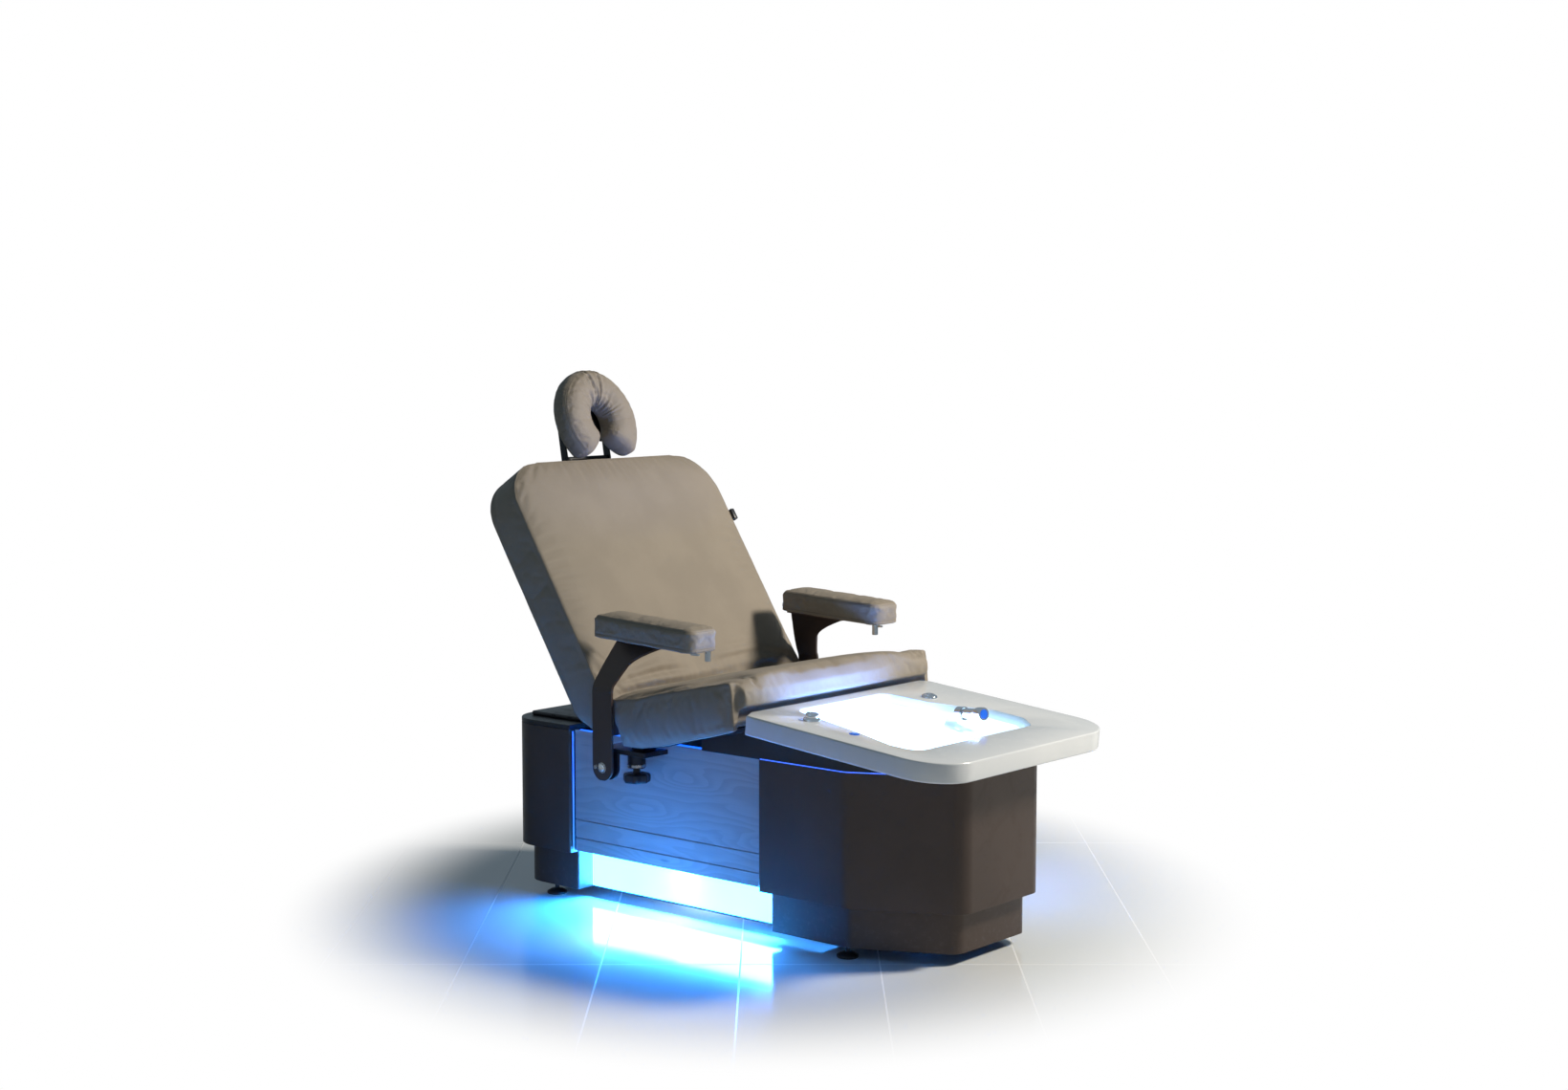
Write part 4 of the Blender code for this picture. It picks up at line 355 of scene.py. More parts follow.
def ray_length(outline, centre, angle):
    """Distance from centre to an outline that it sees whole, in one direction."""
    dx, dy = math.cos(angle), math.sin(angle)
    best = 0.0
    for a, b in zip(outline, outline[1:] + outline[:1]):
        ax, ay = a[0] - centre[0], a[1] - centre[1]
        ex, ey = b[0] - a[0], b[1] - a[1]
        cross = dx * ey - dy * ex
        if abs(cross) < 1e-12:
            continue
        along = (ax * ey - ay * ex) / cross
        share = (ax * dy - ay * dx) / cross
        if along > 0.0 and -1e-9 <= share <= 1.0 + 1e-9:
            best = max(best, along)
    return best


def shell_path(inset=0.0):
    """Outer face of the front shell, inset towards its inside, from its folded-in edge."""
    side = SHELL_HALF_WIDTH - PLINTH_INSET
    path = [(0.0, -side), (CHAMFER_START, -side), (FRONT_LENGTH - PLINTH_INSET, -CHAMFER_HALF_FRONT)]
    spread = offset_path(mirrored(path), inset - PLINTH_INSET)
    edge = SHELL_HALF_WIDTH - inset
    return [(inset, -edge + SHELL_RETURN), (inset, -edge), spread[1], spread[2]]


def rear_path(inset=0.0):
    """Outer face of the rear shell, from its folded-in edge."""
    side = SHELL_HALF_WIDTH - inset
    return [(REAR_NEAR_X, side - SHELL_RETURN), (REAR_NEAR_X, side), (REAR_FAR_X + inset, side)]


# ---------------------------------------------------------------- frames of the tilted parts
SLAB_UP = Vector((math.sin(SLAB_TILT), 0.0, math.cos(SLAB_TILT)))
SLAB_DOWN = Vector((math.cos(SLAB_TILT), 0.0, -math.sin(SLAB_TILT)))
BACK_UP = Vector((-math.sin(RECLINE), 0.0, math.cos(RECLINE)))
BACK_OUT = Vector((math.cos(RECLINE), 0.0, math.sin(RECLINE)))
CRADLE_UP = Vector((-math.sin(CRADLE_LEAN), 0.0, math.cos(CRADLE_LEAN)))
CRADLE_OUT = Vector((math.cos(CRADLE_LEAN), 0.0, math.sin(CRADLE_LEAN)))


def slab_point(s, y, h):
    """Slab coordinates to the drawing frame."""
    return Vector((SLAB_X, y, SLAB_Z)) + SLAB_DOWN * s + SLAB_UP * h


def back_point(y, u, m):
    """Back coordinates to the drawing frame."""
    return Vector((BACK_X, y, BACK_Z)) + BACK_UP * u + BACK_OUT * m


CRADLE_MIDDLE = back_point(0.0, CRADLE_U, CRADLE_M)


def cradle_point(y, v, m):
    """Cradle coordinates to the drawing frame."""
    return CRADLE_MIDDLE + Vector((0.0, y, 0.0)) + CRADLE_UP * v + CRADLE_OUT * m


def pad_point(a, y, h):
    """Pad coordinates (from its back end, y, up from its underside) to the drawing frame."""
    sine, cosine = math.sin(PAD_TILT), math.cos(PAD_TILT)
    return Vector((PAD_BACK_X + a * cosine + (h - PAD_THICKNESS) * sine, y,
                   PAD_TOP_Z - a * sine + (h - PAD_THICKNESS) * cosine))


# ---------------------------------------------------------------- meshes
def loft(rings, ring_loop=False):
    """A body through rings of equally many points; ring_loop joins the last to the first."""
    bm = bmesh.new()
    rows = [[bm.verts.new(point) for point in ring] for ring in rings]
    pairs = list(zip(rows, rows[1:]))
    if ring_loop:
        pairs.append((rows[-1], rows[0]))
    for low, high in pairs:
        for i in range(len(low)):
            j = (i + 1) % len(low)
            bm.faces.new((low[i], low[j], high[j], high[i]))
    if not ring_loop:
        bm.faces.new(rows[0])
        bm.faces.new(rows[-1])
    bmesh.ops.recalc_face_normals(bm, faces=bm.faces)
    return bm


def prism(outline, axis, low, high):
    """An outline pushed along an axis: (y, z) along X, (x, z) along Y or (x, y) along Z."""
    def place(a, b, depth):
        return {"X": (depth, a, b), "Y": (a, depth, b), "Z": (a, b, depth)}[axis]
    return loft([[place(a, b, low) for a, b in outline], [place(a, b, high) for a, b in outline]])


def box(x, y, z):
    """A box from three (low, high) ranges."""
    return prism(((x[0], y[0]), (x[1], y[0]), (x[1], y[1]), (x[0], y[1])), "Z", z[0], z[1])


def turned(profile, base, direction, count=56, ring_loop=False, waves=0, depth=0.0):
    """A profile of (radius, height) points turned about a line; waves flute it round its rim."""
    spin = Vector((0.0, 0.0, 1.0)).rotation_difference(Vector(direction)).to_matrix()
    rings = []
    for radius, height in profile:
        ring = []
        for i in range(count):
            angle = 2.0 * math.pi * i / count
            reach = radius * (1.0 + depth * math.cos(waves * angle))
            point = Vector((reach * math.cos(angle), reach * math.sin(angle), height))
            ring.append(Vector(base) + spin @ point)
        rings.append(ring)
    return loft(rings, ring_loop)


def beside(side, low, high):
    """A range of Y from low to high on one side of the chair."""
    return sorted((side * low, side * high))


def merged(*parts):
    """Several drawings in one mesh."""
    whole = bmesh.new()
    for part in parts:
        mesh = bpy.data.meshes.new("part")
        part.to_mesh(mesh)
        part.free()
        whole.from_mesh(mesh)
        bpy.data.meshes.remove(mesh)
    return whole


def linked(name, data):
    """An object of a mesh, lamp or camera, in the scene."""
    item = bpy.data.objects.new(name, data)
    bpy.context.scene.collection.objects.link(item)
    return item


def piece(name, shape, finish, body, stands_for=(), drawn=True, smooth=35.0, bevel=0.0):
    """A finished piece from a drawing or a mesh: its finish, its body and the nodes it stands for."""
    mesh = shape
    if isinstance(shape, bmesh.types.BMesh):
        mesh = bpy.data.meshes.new(name)
        shape.to_mesh(mesh)
        shape.free()
    if drawn:
        mesh.transform(Matrix.Translation(SHIFT))
    mesh.materials.clear()
    mesh.materials.append(material(finish))
    mesh.shade_smooth()
    mesh.set_sharp_from_angle(angle=math.radians(smooth))
    item = linked(name, mesh)
    if bevel:
        edge = item.modifiers.new("edges", "BEVEL")
        edge.width = bevel
        edge.segments = 2
        edge.limit_method = "ANGLE"
        edge.angle_limit = math.radians(40.0)
        edge.harden_normals = True
    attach(item, body)
    if stands_for:
        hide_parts(*stands_for)
    return item


def merged_copy(node):
    """The mesh of a node with its loose triangles joined."""
    bm = bmesh.new()
    bm.from_mesh(frame["nodes"][node].data)
    bmesh.ops.remove_doubles(bm, verts=bm.verts, dist=1e-5)
    return bm


def refined(node, smooth=35.0, bevel=0.0):
    """A node's shape with joined faces, soft edges and its finish, in the node's place."""
    bm = merged_copy(node)
    bmesh.ops.dissolve_limit(bm, angle_limit=math.radians(0.8), verts=bm.verts, edges=bm.edges)
    return piece(node + "_finish", bm, SLOT_OF[node], BODY_OF[node], (node,), drawn=False, smooth=smooth,
                 bevel=bevel)


# ---------------------------------------------------------------- nodes of materials and of Geometry Nodes
def fed(made, inputs):
    """A node given its inputs: a socket is linked and anything else is a value."""
    for key, value in dict(inputs).items():
        if isinstance(value, bpy.types.NodeSocket):
            made.id_data.links.new(value, made.inputs[key])
        else:
            made.inputs[key].default_value = value
    return made


def new_node(tree, kind, inputs=(), **settings):
    """A node with its settings and its inputs."""
    made = tree.nodes.new(kind)
    for key, value in settings.items():
        setattr(made, key, value)
    return fed(made, inputs)


def add(tree, kind, inputs=(), **settings):
    """A shader node, which Geometry Nodes trees may hold too."""
    return new_node(tree, "ShaderNode" + kind, inputs, **settings)


def geo(tree, kind, inputs=(), **settings):
    """A Geometry Nodes node."""
    return new_node(tree, "GeometryNode" + kind, inputs, **settings)


def maths(tree, operation, a, b=0.0, c=0.0):
    """Output of a Math node."""
    return add(tree, "Math", {0: a, 1: b, 2: c}, operation=operation).outputs[0]


def ramp(tree, value, low, high, start=0.0, end=1.0):
    """A smooth clamped ramp of a value."""
    return add(tree, "MapRange", {"Value": value, "From Min": low, "From Max": high, "To Min": start,
                                  "To Max": end}, interpolation_type="SMOOTHSTEP").outputs["Result"]


def blended(tree, share, first, second):
    """A mix of two colours, each a socket or three numbers."""
    colours = [colour if isinstance(colour, bpy.types.NodeSocket) else (*colour, 1.0)
               for colour in (first, second)]
    return add(tree, "Mix", {0: share, 6: colours[0], 7: colours[1]}, data_type="RGBA").outputs[2]


def along(tree, point, direction):
    """How far a point lies along a direction."""
    return add(tree, "VectorMath", {0: point, 1: tuple(direction)}, operation="DOT_PRODUCT").outputs["Value"]


def raised(tree, height, strength, distance):
    """A normal bumped by a height."""
    return add(tree, "Bump", {"Height": height, "Strength": strength, "Distance": distance}).outputs[0]


def tinted(colour, share):
    """A colour made lighter or darker by a share."""
    return tuple(min(1.0, channel * (1.0 + share)) for channel in colour)


def shared_group(name, inputs, outputs, fill):
    """A shader node group, built once."""
    tree = bpy.data.node_groups.get(name)
    if tree is None:
        tree = bpy.data.node_groups.new(name, "ShaderNodeTree")
        for label, kind, value in inputs:
            socket = tree.interface.new_socket(label, in_out="INPUT", socket_type="NodeSocket" + kind)
            if value is not None:
                socket.default_value = value
        for label in outputs:
            tree.interface.new_socket(label, in_out="OUTPUT", socket_type="NodeSocketFloat")
        source = tree.nodes.new("NodeGroupInput").outputs
        results = fill(tree, source)
        new_node(tree, "NodeGroupOutput", {label: results[label] for label in outputs})
    return tree


def use(tree, group, values):
    """Outputs of a group placed in a material with its own values."""
    return add(tree, "Group", values, node_tree=group).outputs


def surface_life():
    """Fine grain, soft mottling and the smudges of use, for coated and moulded surfaces."""
    def fill(tree, source):
        fine = maths(tree, "DIVIDE", 1.0, source["Grain"])
        broad = maths(tree, "DIVIDE", 1.0, source["Mottle Size"])
        grain = add(tree, "TexNoise", {"Vector": source["Vector"], "Scale": fine, "Detail": 3.0})
        mottle = add(tree, "TexNoise", {"Vector": source["Vector"], "Scale": broad, "Detail": 3.0})
        closer = maths(tree, "MULTIPLY", broad, 2.3)
        smear = add(tree, "TexNoise", {"Vector": source["Vector"], "Scale": closer, "Detail": 5.0,
                                       "Roughness": 0.7, "Distortion": 1.4})
        return {"Height": grain.outputs[0], "Mottle": ramp(tree, mottle.outputs[0], 0.34, 0.66),
                "Smudge": ramp(tree, smear.outputs[0], 0.42, 0.72)}
    return shared_group("Surface Life", (("Vector", "Vector", None), ("Grain", "Float", 0.001),
                                         ("Mottle Size", "Float", 0.1)),
                        ("Height", "Mottle", "Smudge"), fill)


def leather_grain():
    """Pebbled grain with pores, for the upholstery."""
    def fill(tree, source):
        scale = maths(tree, "DIVIDE", 1.0, source["Pebble"])
        coarse = maths(tree, "MULTIPLY", scale, 0.35)
        bent = add(tree, "TexNoise", {"Vector": source["Vector"], "Scale": coarse})
        where = add(tree, "VectorMath", {0: bent.outputs[1], 1: (PEBBLE_WANDER,) * 3, 2: source["Vector"]},
                    operation="MULTIPLY_ADD")
        cells = add(tree, "TexVoronoi", {"Vector": where.outputs[0], "Scale": scale},
                    feature="DISTANCE_TO_EDGE")
        pebble = ramp(tree, cells.outputs[0], 0.0, 0.28)
        broad = add(tree, "TexNoise", {"Vector": source["Vector"], "Scale": 7.0, "Detail": 4.0})
        soft = add(tree, "TexNoise", {"Vector": source["Vector"], "Scale": 34.0, "Detail": 2.0})
        height = maths(tree, "MULTIPLY_ADD", soft.outputs[0], 1.4, pebble)
        return {"Height": height, "Crease": maths(tree, "SUBTRACT", 1.0, pebble),
                "Tone": ramp(tree, broad.outputs[0], 0.34, 0.66)}
    return shared_group("Leather Grain", (("Vector", "Vector", None), ("Pebble", "Float", 0.0013)),
                        ("Height", "Crease", "Tone"), fill)


def floor_scuffs():
    """Dust and scuffs that gather within reach of the floor."""
    def fill(tree, source):
        height = add(tree, "SeparateXYZ", {0: source["Vector"]}).outputs[2]
        low = ramp(tree, height, 0.0, source["Reach"], 1.0, 0.0)
        flecks = add(tree, "TexNoise", {"Vector": source["Vector"], "Scale": 60.0, "Detail": 6.0,
                                        "Roughness": 0.75})
        return {"Mask": maths(tree, "MULTIPLY", low, ramp(tree, flecks.outputs[0], 0.50, 0.74))}
    return shared_group("Floor Scuffs", (("Vector", "Vector", None), ("Reach", "Float", 0.2)),
                        ("Mask",), fill)


def blank(name):
    """A new material: it, its tree, its Principled shader and its Object coordinates."""
    made = bpy.data.materials.new("chair_" + name)
    made.use_nodes = True
    tree = made.node_tree
    where = tree.nodes.new("ShaderNodeTexCoord").outputs["Object"]
    return made, tree, tree.nodes["Principled BSDF"], where


def coated(name, colour, rough, metal=0.0, coat=0.0, grain=0.0009, depth=0.00004, contrast=0.07,
           mottle=0.12, scuffs=0.0):
    """A coated, moulded or plated surface with grain, mottling, smudges and scuffs."""
    made, tree, shader, where = blank(name)
    life = use(tree, surface_life(), {"Vector": where, "Grain": grain, "Mottle Size": mottle})
    shade = blended(tree, life["Mottle"], tinted(colour, -contrast), tinted(colour, contrast))
    if scuffs:
        mask = use(tree, floor_scuffs(), {"Vector": where, "Reach": SCUFF_HEIGHT})["Mask"]
        shade = blended(tree, maths(tree, "MULTIPLY", mask, scuffs), shade, DUST)
    worn = ramp(tree, life["Smudge"], 0.0, 1.0, max(rough - 0.05, 0.03), rough + 0.07)
    fed(shader, {"Base Color": shade, "Roughness": worn, "Metallic": metal, "Coat Weight": coat,
                 "Coat Roughness": 0.08, "Normal": raised(tree, life["Height"], 1.0, depth)})
    return made


def cast_strength(tree, seen, cast):
    """Strength of a light: what the camera meets, and what falls on the rest."""
    camera = add(tree, "LightPath").outputs["Is Camera Ray"]
    return maths(tree, "MULTIPLY_ADD", camera, seen - cast, cast)


def glowing(name, colour, strength, cast=None):
    """A frosted surface lit from behind, a little uneven along its length."""
    made, tree, shader, where = blank(name)
    skin = (0.55, 0.65, 0.80)
    life = use(tree, surface_life(), {"Vector": where, "Grain": 0.004, "Mottle Size": 0.25})
    fed(shader, {"Base Color": blended(tree, life["Mottle"], tinted(skin, -0.05), skin),
                 "Emission Color": blended(tree, life["Mottle"], tinted(colour, -0.08), colour),
                 "Emission Strength": cast_strength(tree, strength, cast) if cast else strength,
                 "Roughness": 0.45})
    return made


# ---------------------------------------------------------------- finishes
def taupe_leather():
    """Vinyl-coated upholstery with a fine pebbled grain."""
    chosen = bpy.context.scene.chair_leather
    made, tree, shader, where = blank("taupe_leather")
    colour = tuple(chosen.colour)
    grain = use(tree, leather_grain(), {"Vector": where, "Pebble": chosen.grain})
    tone = blended(tree, grain["Tone"], tinted(colour, -0.05), tinted(colour, 0.05))
    pores = maths(tree, "MULTIPLY", grain["Crease"], 0.28)
    fed(shader, {"Base Color": blended(tree, pores, tone, tinted(colour, -0.45)),
                 "Roughness": ramp(tree, grain["Crease"], 0.0, 1.0, 0.46, 0.62),
                 "Normal": raised(tree, grain["Height"], 0.8, 0.00018),
                 "Specular IOR Level": 0.34, "Sheen Weight": 0.06})
    return made


def bronze_steel():
    """Satin bronze-brown powder coat."""
    chosen = bpy.context.scene.chair_steel
    return coated("bronze_steel", tuple(chosen.bronze), chosen.roughness, 0.35, grain=0.0007,
                  depth=0.00003, contrast=0.06, mottle=0.2, scuffs=0.10)


def black_steel():
    """Black powder coat."""
    return coated("black_steel", tuple(bpy.context.scene.chair_steel.black), 0.46, 0.3, depth=0.00005,
                  scuffs=0.12)


def black_plastic():
    """Satin black plastic with a fine spark-eroded grain."""
    return coated("black_plastic", (0.013, 0.013, 0.015), 0.42, grain=0.0006, depth=0.00006, contrast=0.12)


def black_plywood():
    """Black-stained plywood whose grain runs up the boards."""
    made, tree, shader, where = blank("black_plywood")
    long = add(tree, "Mapping", {"Vector": where, "Scale": (3.0, 90.0, 3.0)})
    grain = add(tree, "TexNoise", {"Vector": long.outputs[0], "Scale": 4.0, "Detail": 5.0})
    life = use(tree, surface_life(), {"Vector": where, "Grain": 0.002, "Mottle Size": 0.2})
    fed(shader, {"Base Color": blended(tree, grain.outputs[0], (0.014, 0.014, 0.016), (0.034, 0.033, 0.034)),
                 "Roughness": ramp(tree, life["Smudge"], 0.0, 1.0, 0.5, 0.68),
                 "Normal": raised(tree, grain.outputs[0], 0.5, 0.0002)})
    return made


def column_aluminium():
    """Satin anodised aluminium, drawn lengthwise."""
    made, tree, shader, where = blank("column_aluminium")
    drawn = add(tree, "Mapping", {"Vector": where, "Scale": (700.0, 700.0, 6.0)})
    lines = add(tree, "TexNoise", {"Vector": drawn.outputs[0], "Scale": 1.0, "Detail": 3.0})
    fed(shader, {"Base Color": blended(tree, lines.outputs[0], (0.48, 0.49, 0.51), (0.60, 0.61, 0.63)),
                 "Roughness": ramp(tree, lines.outputs[0], 0.2, 0.8, 0.28, 0.44), "Metallic": 0.95})
    return made


def pale_oak():
    """Pale oak laminate, its figure running along the panel with cathedrals and a few knots."""
    chosen = bpy.context.scene.chair_oak
    made, tree, shader, where = blank("pale_oak")
    stretched = add(tree, "Mapping", {"Vector": where, "Scale": (1.0, 1.0, 4.2)}).outputs[0]
    sway = add(tree, "TexNoise", {"Vector": stretched, "Scale": 2.4, "Detail": 3.0, "Roughness": 0.45})
    knots = add(tree, "TexVoronoi", {"Vector": stretched, "Scale": 2.1, "Randomness": 0.9})
    near = ramp(tree, knots.outputs["Distance"], 0.0, 0.42, 1.0, 0.0)
    height = add(tree, "SeparateXYZ", {0: where}).outputs[2]
    rows = maths(tree, "DIVIDE", height, chosen.ring)
    rows = maths(tree, "MULTIPLY_ADD", sway.outputs[0], 7.0, rows)
    rows = maths(tree, "MULTIPLY_ADD", near, 3.2, rows)
    band = maths(tree, "FRACT", rows)
    late = maths(tree, "MULTIPLY", ramp(tree, band, 0.15, 0.86), ramp(tree, band, 0.90, 1.0, 1.0, 0.0))
    fibre_run = add(tree, "Mapping", {"Vector": where, "Scale": (9.0, 9.0, 420.0)}).outputs[0]
    fibres = add(tree, "TexNoise", {"Vector": fibre_run, "Scale": 1.0, "Detail": 4.0, "Roughness": 0.6})
    heart = ramp(tree, knots.outputs["Distance"], 0.015, 0.06, 1.0, 0.0)
    pale, dark = tuple(chosen.pale), tuple(chosen.dark)
    shade = blended(tree, maths(tree, "MULTIPLY", late, 0.26), pale, dark)
    shade = blended(tree, maths(tree, "MULTIPLY", fibres.outputs[0], 0.34), shade, tinted(dark, 0.15))
    shade = blended(tree, maths(tree, "MULTIPLY", heart, 0.6), shade, tinted(dark, -0.5))
    relief = maths(tree, "MULTIPLY_ADD", late, -0.4, fibres.outputs[0])
    fed(shader, {"Base Color": shade, "Roughness": ramp(tree, fibres.outputs[0], 0.25, 0.75, 0.38, 0.54),
                 "Normal": raised(tree, relief, 0.6, 0.0002)})
    return made


def bowl_mask(tree, where):
    """1 on the walls and floor of the foot bowl, fading to 0 at its rim."""
    origin = Vector((SLAB_X, 0.0, SLAB_Z)) + SHIFT
    from_slab = add(tree, "VectorMath", {0: where, 1: tuple(origin)}, operation="SUBTRACT").outputs[0]
    depth, run = along(tree, from_slab, SLAB_UP), along(tree, from_slab, SLAB_DOWN)
    across = along(tree, from_slab, (0.0, 1.0, 0.0))
    facing = tree.nodes.new("ShaderNodeTexCoord").outputs["Normal"]
    up = along(tree, facing, SLAB_UP)
    amount = maths(tree, "MULTIPLY", ramp(tree, depth, -0.002, -0.040), ramp(tree, up, 0.0, 0.06))
    for value, low, high in ((run, 0.035, 0.055), (across, -0.335, -0.315)):
        amount = maths(tree, "MULTIPLY", amount, ramp(tree, value, low, high))
    for value, low, high in ((run, 0.515, 0.530), (across, 0.262, 0.275)):
        amount = maths(tree, "MULTIPLY", amount, ramp(tree, value, low, high, 1.0, 0.0))
    return amount


def white_surface():
    """Glossy white solid surface, lit from inside where it is the foot bowl."""
    glow = bpy.context.scene.chair_glow
    made, tree, shader, where = blank("white_surface")
    life = use(tree, surface_life(), {"Vector": where, "Grain": 0.003, "Mottle Size": 0.18})
    fed(shader, {"Base Color": blended(tree, life["Mottle"], (0.72, 0.745, 0.77), (0.76, 0.78, 0.80)),
                 "Roughness": ramp(tree, life["Smudge"], 0.0, 1.0, 0.16, 0.26),
                 "Normal": raised(tree, life["Height"], 0.5, 0.00004),
                 "Coat Weight": 0.25, "Coat Roughness": 0.06,
                 "Emission Color": blended(tree, bowl_mask(tree, where), (0.0, 0.0, 0.0), tuple(glow.bowl)),
                 "Emission Strength": cast_strength(tree, glow.bowl_strength, glow.bowl_cast)})
    return made


def chrome():
    """Polished chrome with faint water marks."""
    return coated("chrome", (0.80, 0.80, 0.82), 0.09, 1.0, grain=0.004, depth=0.00001, contrast=0.02,
                  mottle=0.03)


def lit_diffuser():
    """Frosted diffuser of the light band."""
    glow = bpy.context.scene.chair_glow
    return glowing("lit_diffuser", tuple(glow.band), glow.band_strength, cast=glow.band_cast)


def blue_plastic():
    """Blue translucent plastic, faintly lit."""
    made = coated("blue_plastic", (0.02, 0.12, 0.55), 0.24, coat=0.4, grain=0.002, depth=0.00002)
    # painted glow: a faint blue emission on the blue button and the shower's face
    fed(made.node_tree.nodes["Principled BSDF"],
        {"Emission Color": (0.0, 0.10, 0.65, 1.0), "Emission Strength": 0.35})
    return made


def light_line():
    """Thin blue light line in view."""
    glow = bpy.context.scene.chair_glow
    return glowing("light_line", tuple(glow.line), glow.line_strength)


def light_wash():
    """Hidden blue light line that washes what is near it."""
    glow = bpy.context.scene.chair_glow
    return glowing("light_wash", tuple(glow.line), glow.line_strength, cast=glow.wash_strength)


def sewing_thread():
    """Twisted taupe thread."""
    return coated("sewing_thread", (0.20, 0.165, 0.125), 0.6, grain=0.0004, depth=0.0001, contrast=0.2)


def seam_fold():
    """Folded edge of the upholstery in a seam."""
    return coated("seam_fold", (0.205, 0.172, 0.134), 0.55, grain=0.0008, depth=0.0001, contrast=0.15)


def zinc_screw():
    """Bright zinc-plated screw heads."""
    return coated("zinc_screw", (0.42, 0.42, 0.44), 0.28, 0.95, grain=0.001, depth=0.00003)


def dark_recess():
    """Unlit inside of slots and sockets."""
    return coated("dark_recess", (0.004, 0.004, 0.005), 0.7, grain=0.001, depth=0.00005)


RECIPES = {recipe.__name__: recipe for recipe in (
    taupe_leather, bronze_steel, black_steel, black_plastic, black_plywood, column_aluminium, pale_oak,
    white_surface, chrome, lit_diffuser, blue_plastic, light_line, light_wash, sewing_thread, seam_fold,
    zinc_screw, dark_recess)}


def material(name):
    """A finish by name, made when it is first asked for."""
    return bpy.data.materials.get("chair_" + name) or RECIPES[name]()


# ---------------------------------------------------------------- Geometry Nodes for what repeats
def row_tree(name, inputs, fill):
    """A tree with named inputs that ends in Realize Instances and Set Material."""
    tree = bpy.data.node_groups.get(name)
    if tree is None:
        tree = bpy.data.node_groups.new(name, "GeometryNodeTree")
        tree.interface.new_socket("Geometry", in_out="INPUT", socket_type="NodeSocketGeometry")
        for label in inputs:
            tree.interface.new_socket(label, in_out="INPUT", socket_type="NodeSocketFloat")
        tree.interface.new_socket("Finish", in_out="INPUT", socket_type="NodeSocketMaterial")
        tree.interface.new_socket("Geometry", in_out="OUTPUT", socket_type="NodeSocketGeometry")
        source = tree.nodes.new("NodeGroupInput").outputs
        real = geo(tree, "RealizeInstances", {0: fill(tree, source)})
        done = geo(tree, "SetMaterial", {"Geometry": real.outputs[0], "Material": source["Finish"]})
        new_node(tree, "NodeGroupOutput", {0: done.outputs[0]})
    return tree


def stitch_rows():
    """Stitches laid along paths."""
    def fill(tree, source):
        curve = geo(tree, "MeshToCurve", {"Mesh": source["Geometry"]})
        places = geo(tree, "CurveToPoints", {"Curve": curve.outputs[0], "Length": source["Pitch"]},
                     mode="LENGTH")
        stitch = geo(tree, "MeshUVSphere", {"Segments": 6, "Rings": 4, "Radius": 1.0})
        half = maths(tree, "MULTIPLY", source["Stitch"], 0.5)
        size = add(tree, "CombineXYZ", {0: source["Thread"], 1: source["Thread"], 2: half})
        return geo(tree, "InstanceOnPoints",
                   {"Points": places.outputs["Points"], "Instance": stitch.outputs[0],
                    "Rotation": places.outputs["Rotation"], "Scale": size.outputs[0]}).outputs[0]
    return row_tree("Stitch Rows", ("Pitch", "Stitch", "Thread"), fill)


def seam_folds():
    """The folded edge of the cover along a seam."""
    def fill(tree, source):
        curve = geo(tree, "MeshToCurve", {"Mesh": source["Geometry"]})
        ring = geo(tree, "CurvePrimitiveCircle", {"Resolution": 6, "Radius": source["Radius"]})
        return geo(tree, "CurveToMesh", {"Curve": curve.outputs[0],
                                         "Profile Curve": ring.outputs[0]}).outputs[0]
    return row_tree("Seam Folds", ("Radius",), fill)


def screw_heads():
    """Round heads with a washer and a hexagon, one on each point, facing a given way."""
    def fill(tree, source):
        whole = geo(tree, "JoinGeometry")
        for corners, wider, taller in ((20, 1.0, 1.0), (24, 1.35, 0.4), (6, 0.5, 1.12)):
            disc = geo(tree, "MeshCylinder", {"Vertices": corners,
                                              "Radius": maths(tree, "MULTIPLY", source["Radius"], wider),
                                              "Depth": maths(tree, "MULTIPLY", source["Height"], taller)})
            tree.links.new(disc.outputs[0], whole.inputs[0])
        turn = add(tree, "CombineXYZ", {0: 0.0, 1: source["Turn"], 2: 0.0})
        spun = new_node(tree, "FunctionNodeEulerToRotation", {0: turn.outputs[0]})
        return geo(tree, "InstanceOnPoints", {"Points": source["Geometry"], "Instance": whole.outputs[0],
                                              "Rotation": spun.outputs[0]}).outputs[0]
    return row_tree("Screw Heads", ("Radius", "Height", "Turn"), fill)


def evaluated_mesh(item):
    """The plain mesh that an object's modifiers give; the object is removed."""
    graph = bpy.context.evaluated_depsgraph_get()
    mesh = bpy.data.meshes.new_from_object(item.evaluated_get(graph), depsgraph=graph)
    old = item.data
    bpy.data.objects.remove(item, do_unlink=True)
    bpy.data.meshes.remove(old)
    return mesh


def row_mesh(tree, paths, values, finish):
    """What a tree makes on paths given as (points, closed), or on single points."""
    mesh = bpy.data.meshes.new("rows")
    points, edges = [], []
    for path, closed in paths:
        first = len(points)
        points += [tuple(point) for point in path]
        edges += [(i, i + 1) for i in range(first, len(points) - 1)]
        if closed:
            edges.append((len(points) - 1, first))
    mesh.from_pydata(points, edges, [])
    item = linked("rows", mesh)
    rows = item.modifiers.new("rows", "NODES")
    rows.node_group = tree
    wanted = dict(values, Finish=material(finish))
    for socket in tree.interface.items_tree:
        if socket.item_type == "SOCKET" and socket.in_out == "INPUT" and socket.name in wanted:
            rows[socket.identifier] = wanted[socket.name]
    return evaluated_mesh(item)


# ---------------------------------------------------------------- upholstery
def resampled(points, step, closed=False):
    """A path with a point about every step."""
    points = [Vector(point) for point in points]
    if closed:
        points.append(points[0])
    made = []
    for a, b in zip(points, points[1:]):
        count = max(1, round((b - a).length / step))
        made += [a.lerp(b, i / count) for i in range(count)]
    return made if closed else made + [points[-1]]


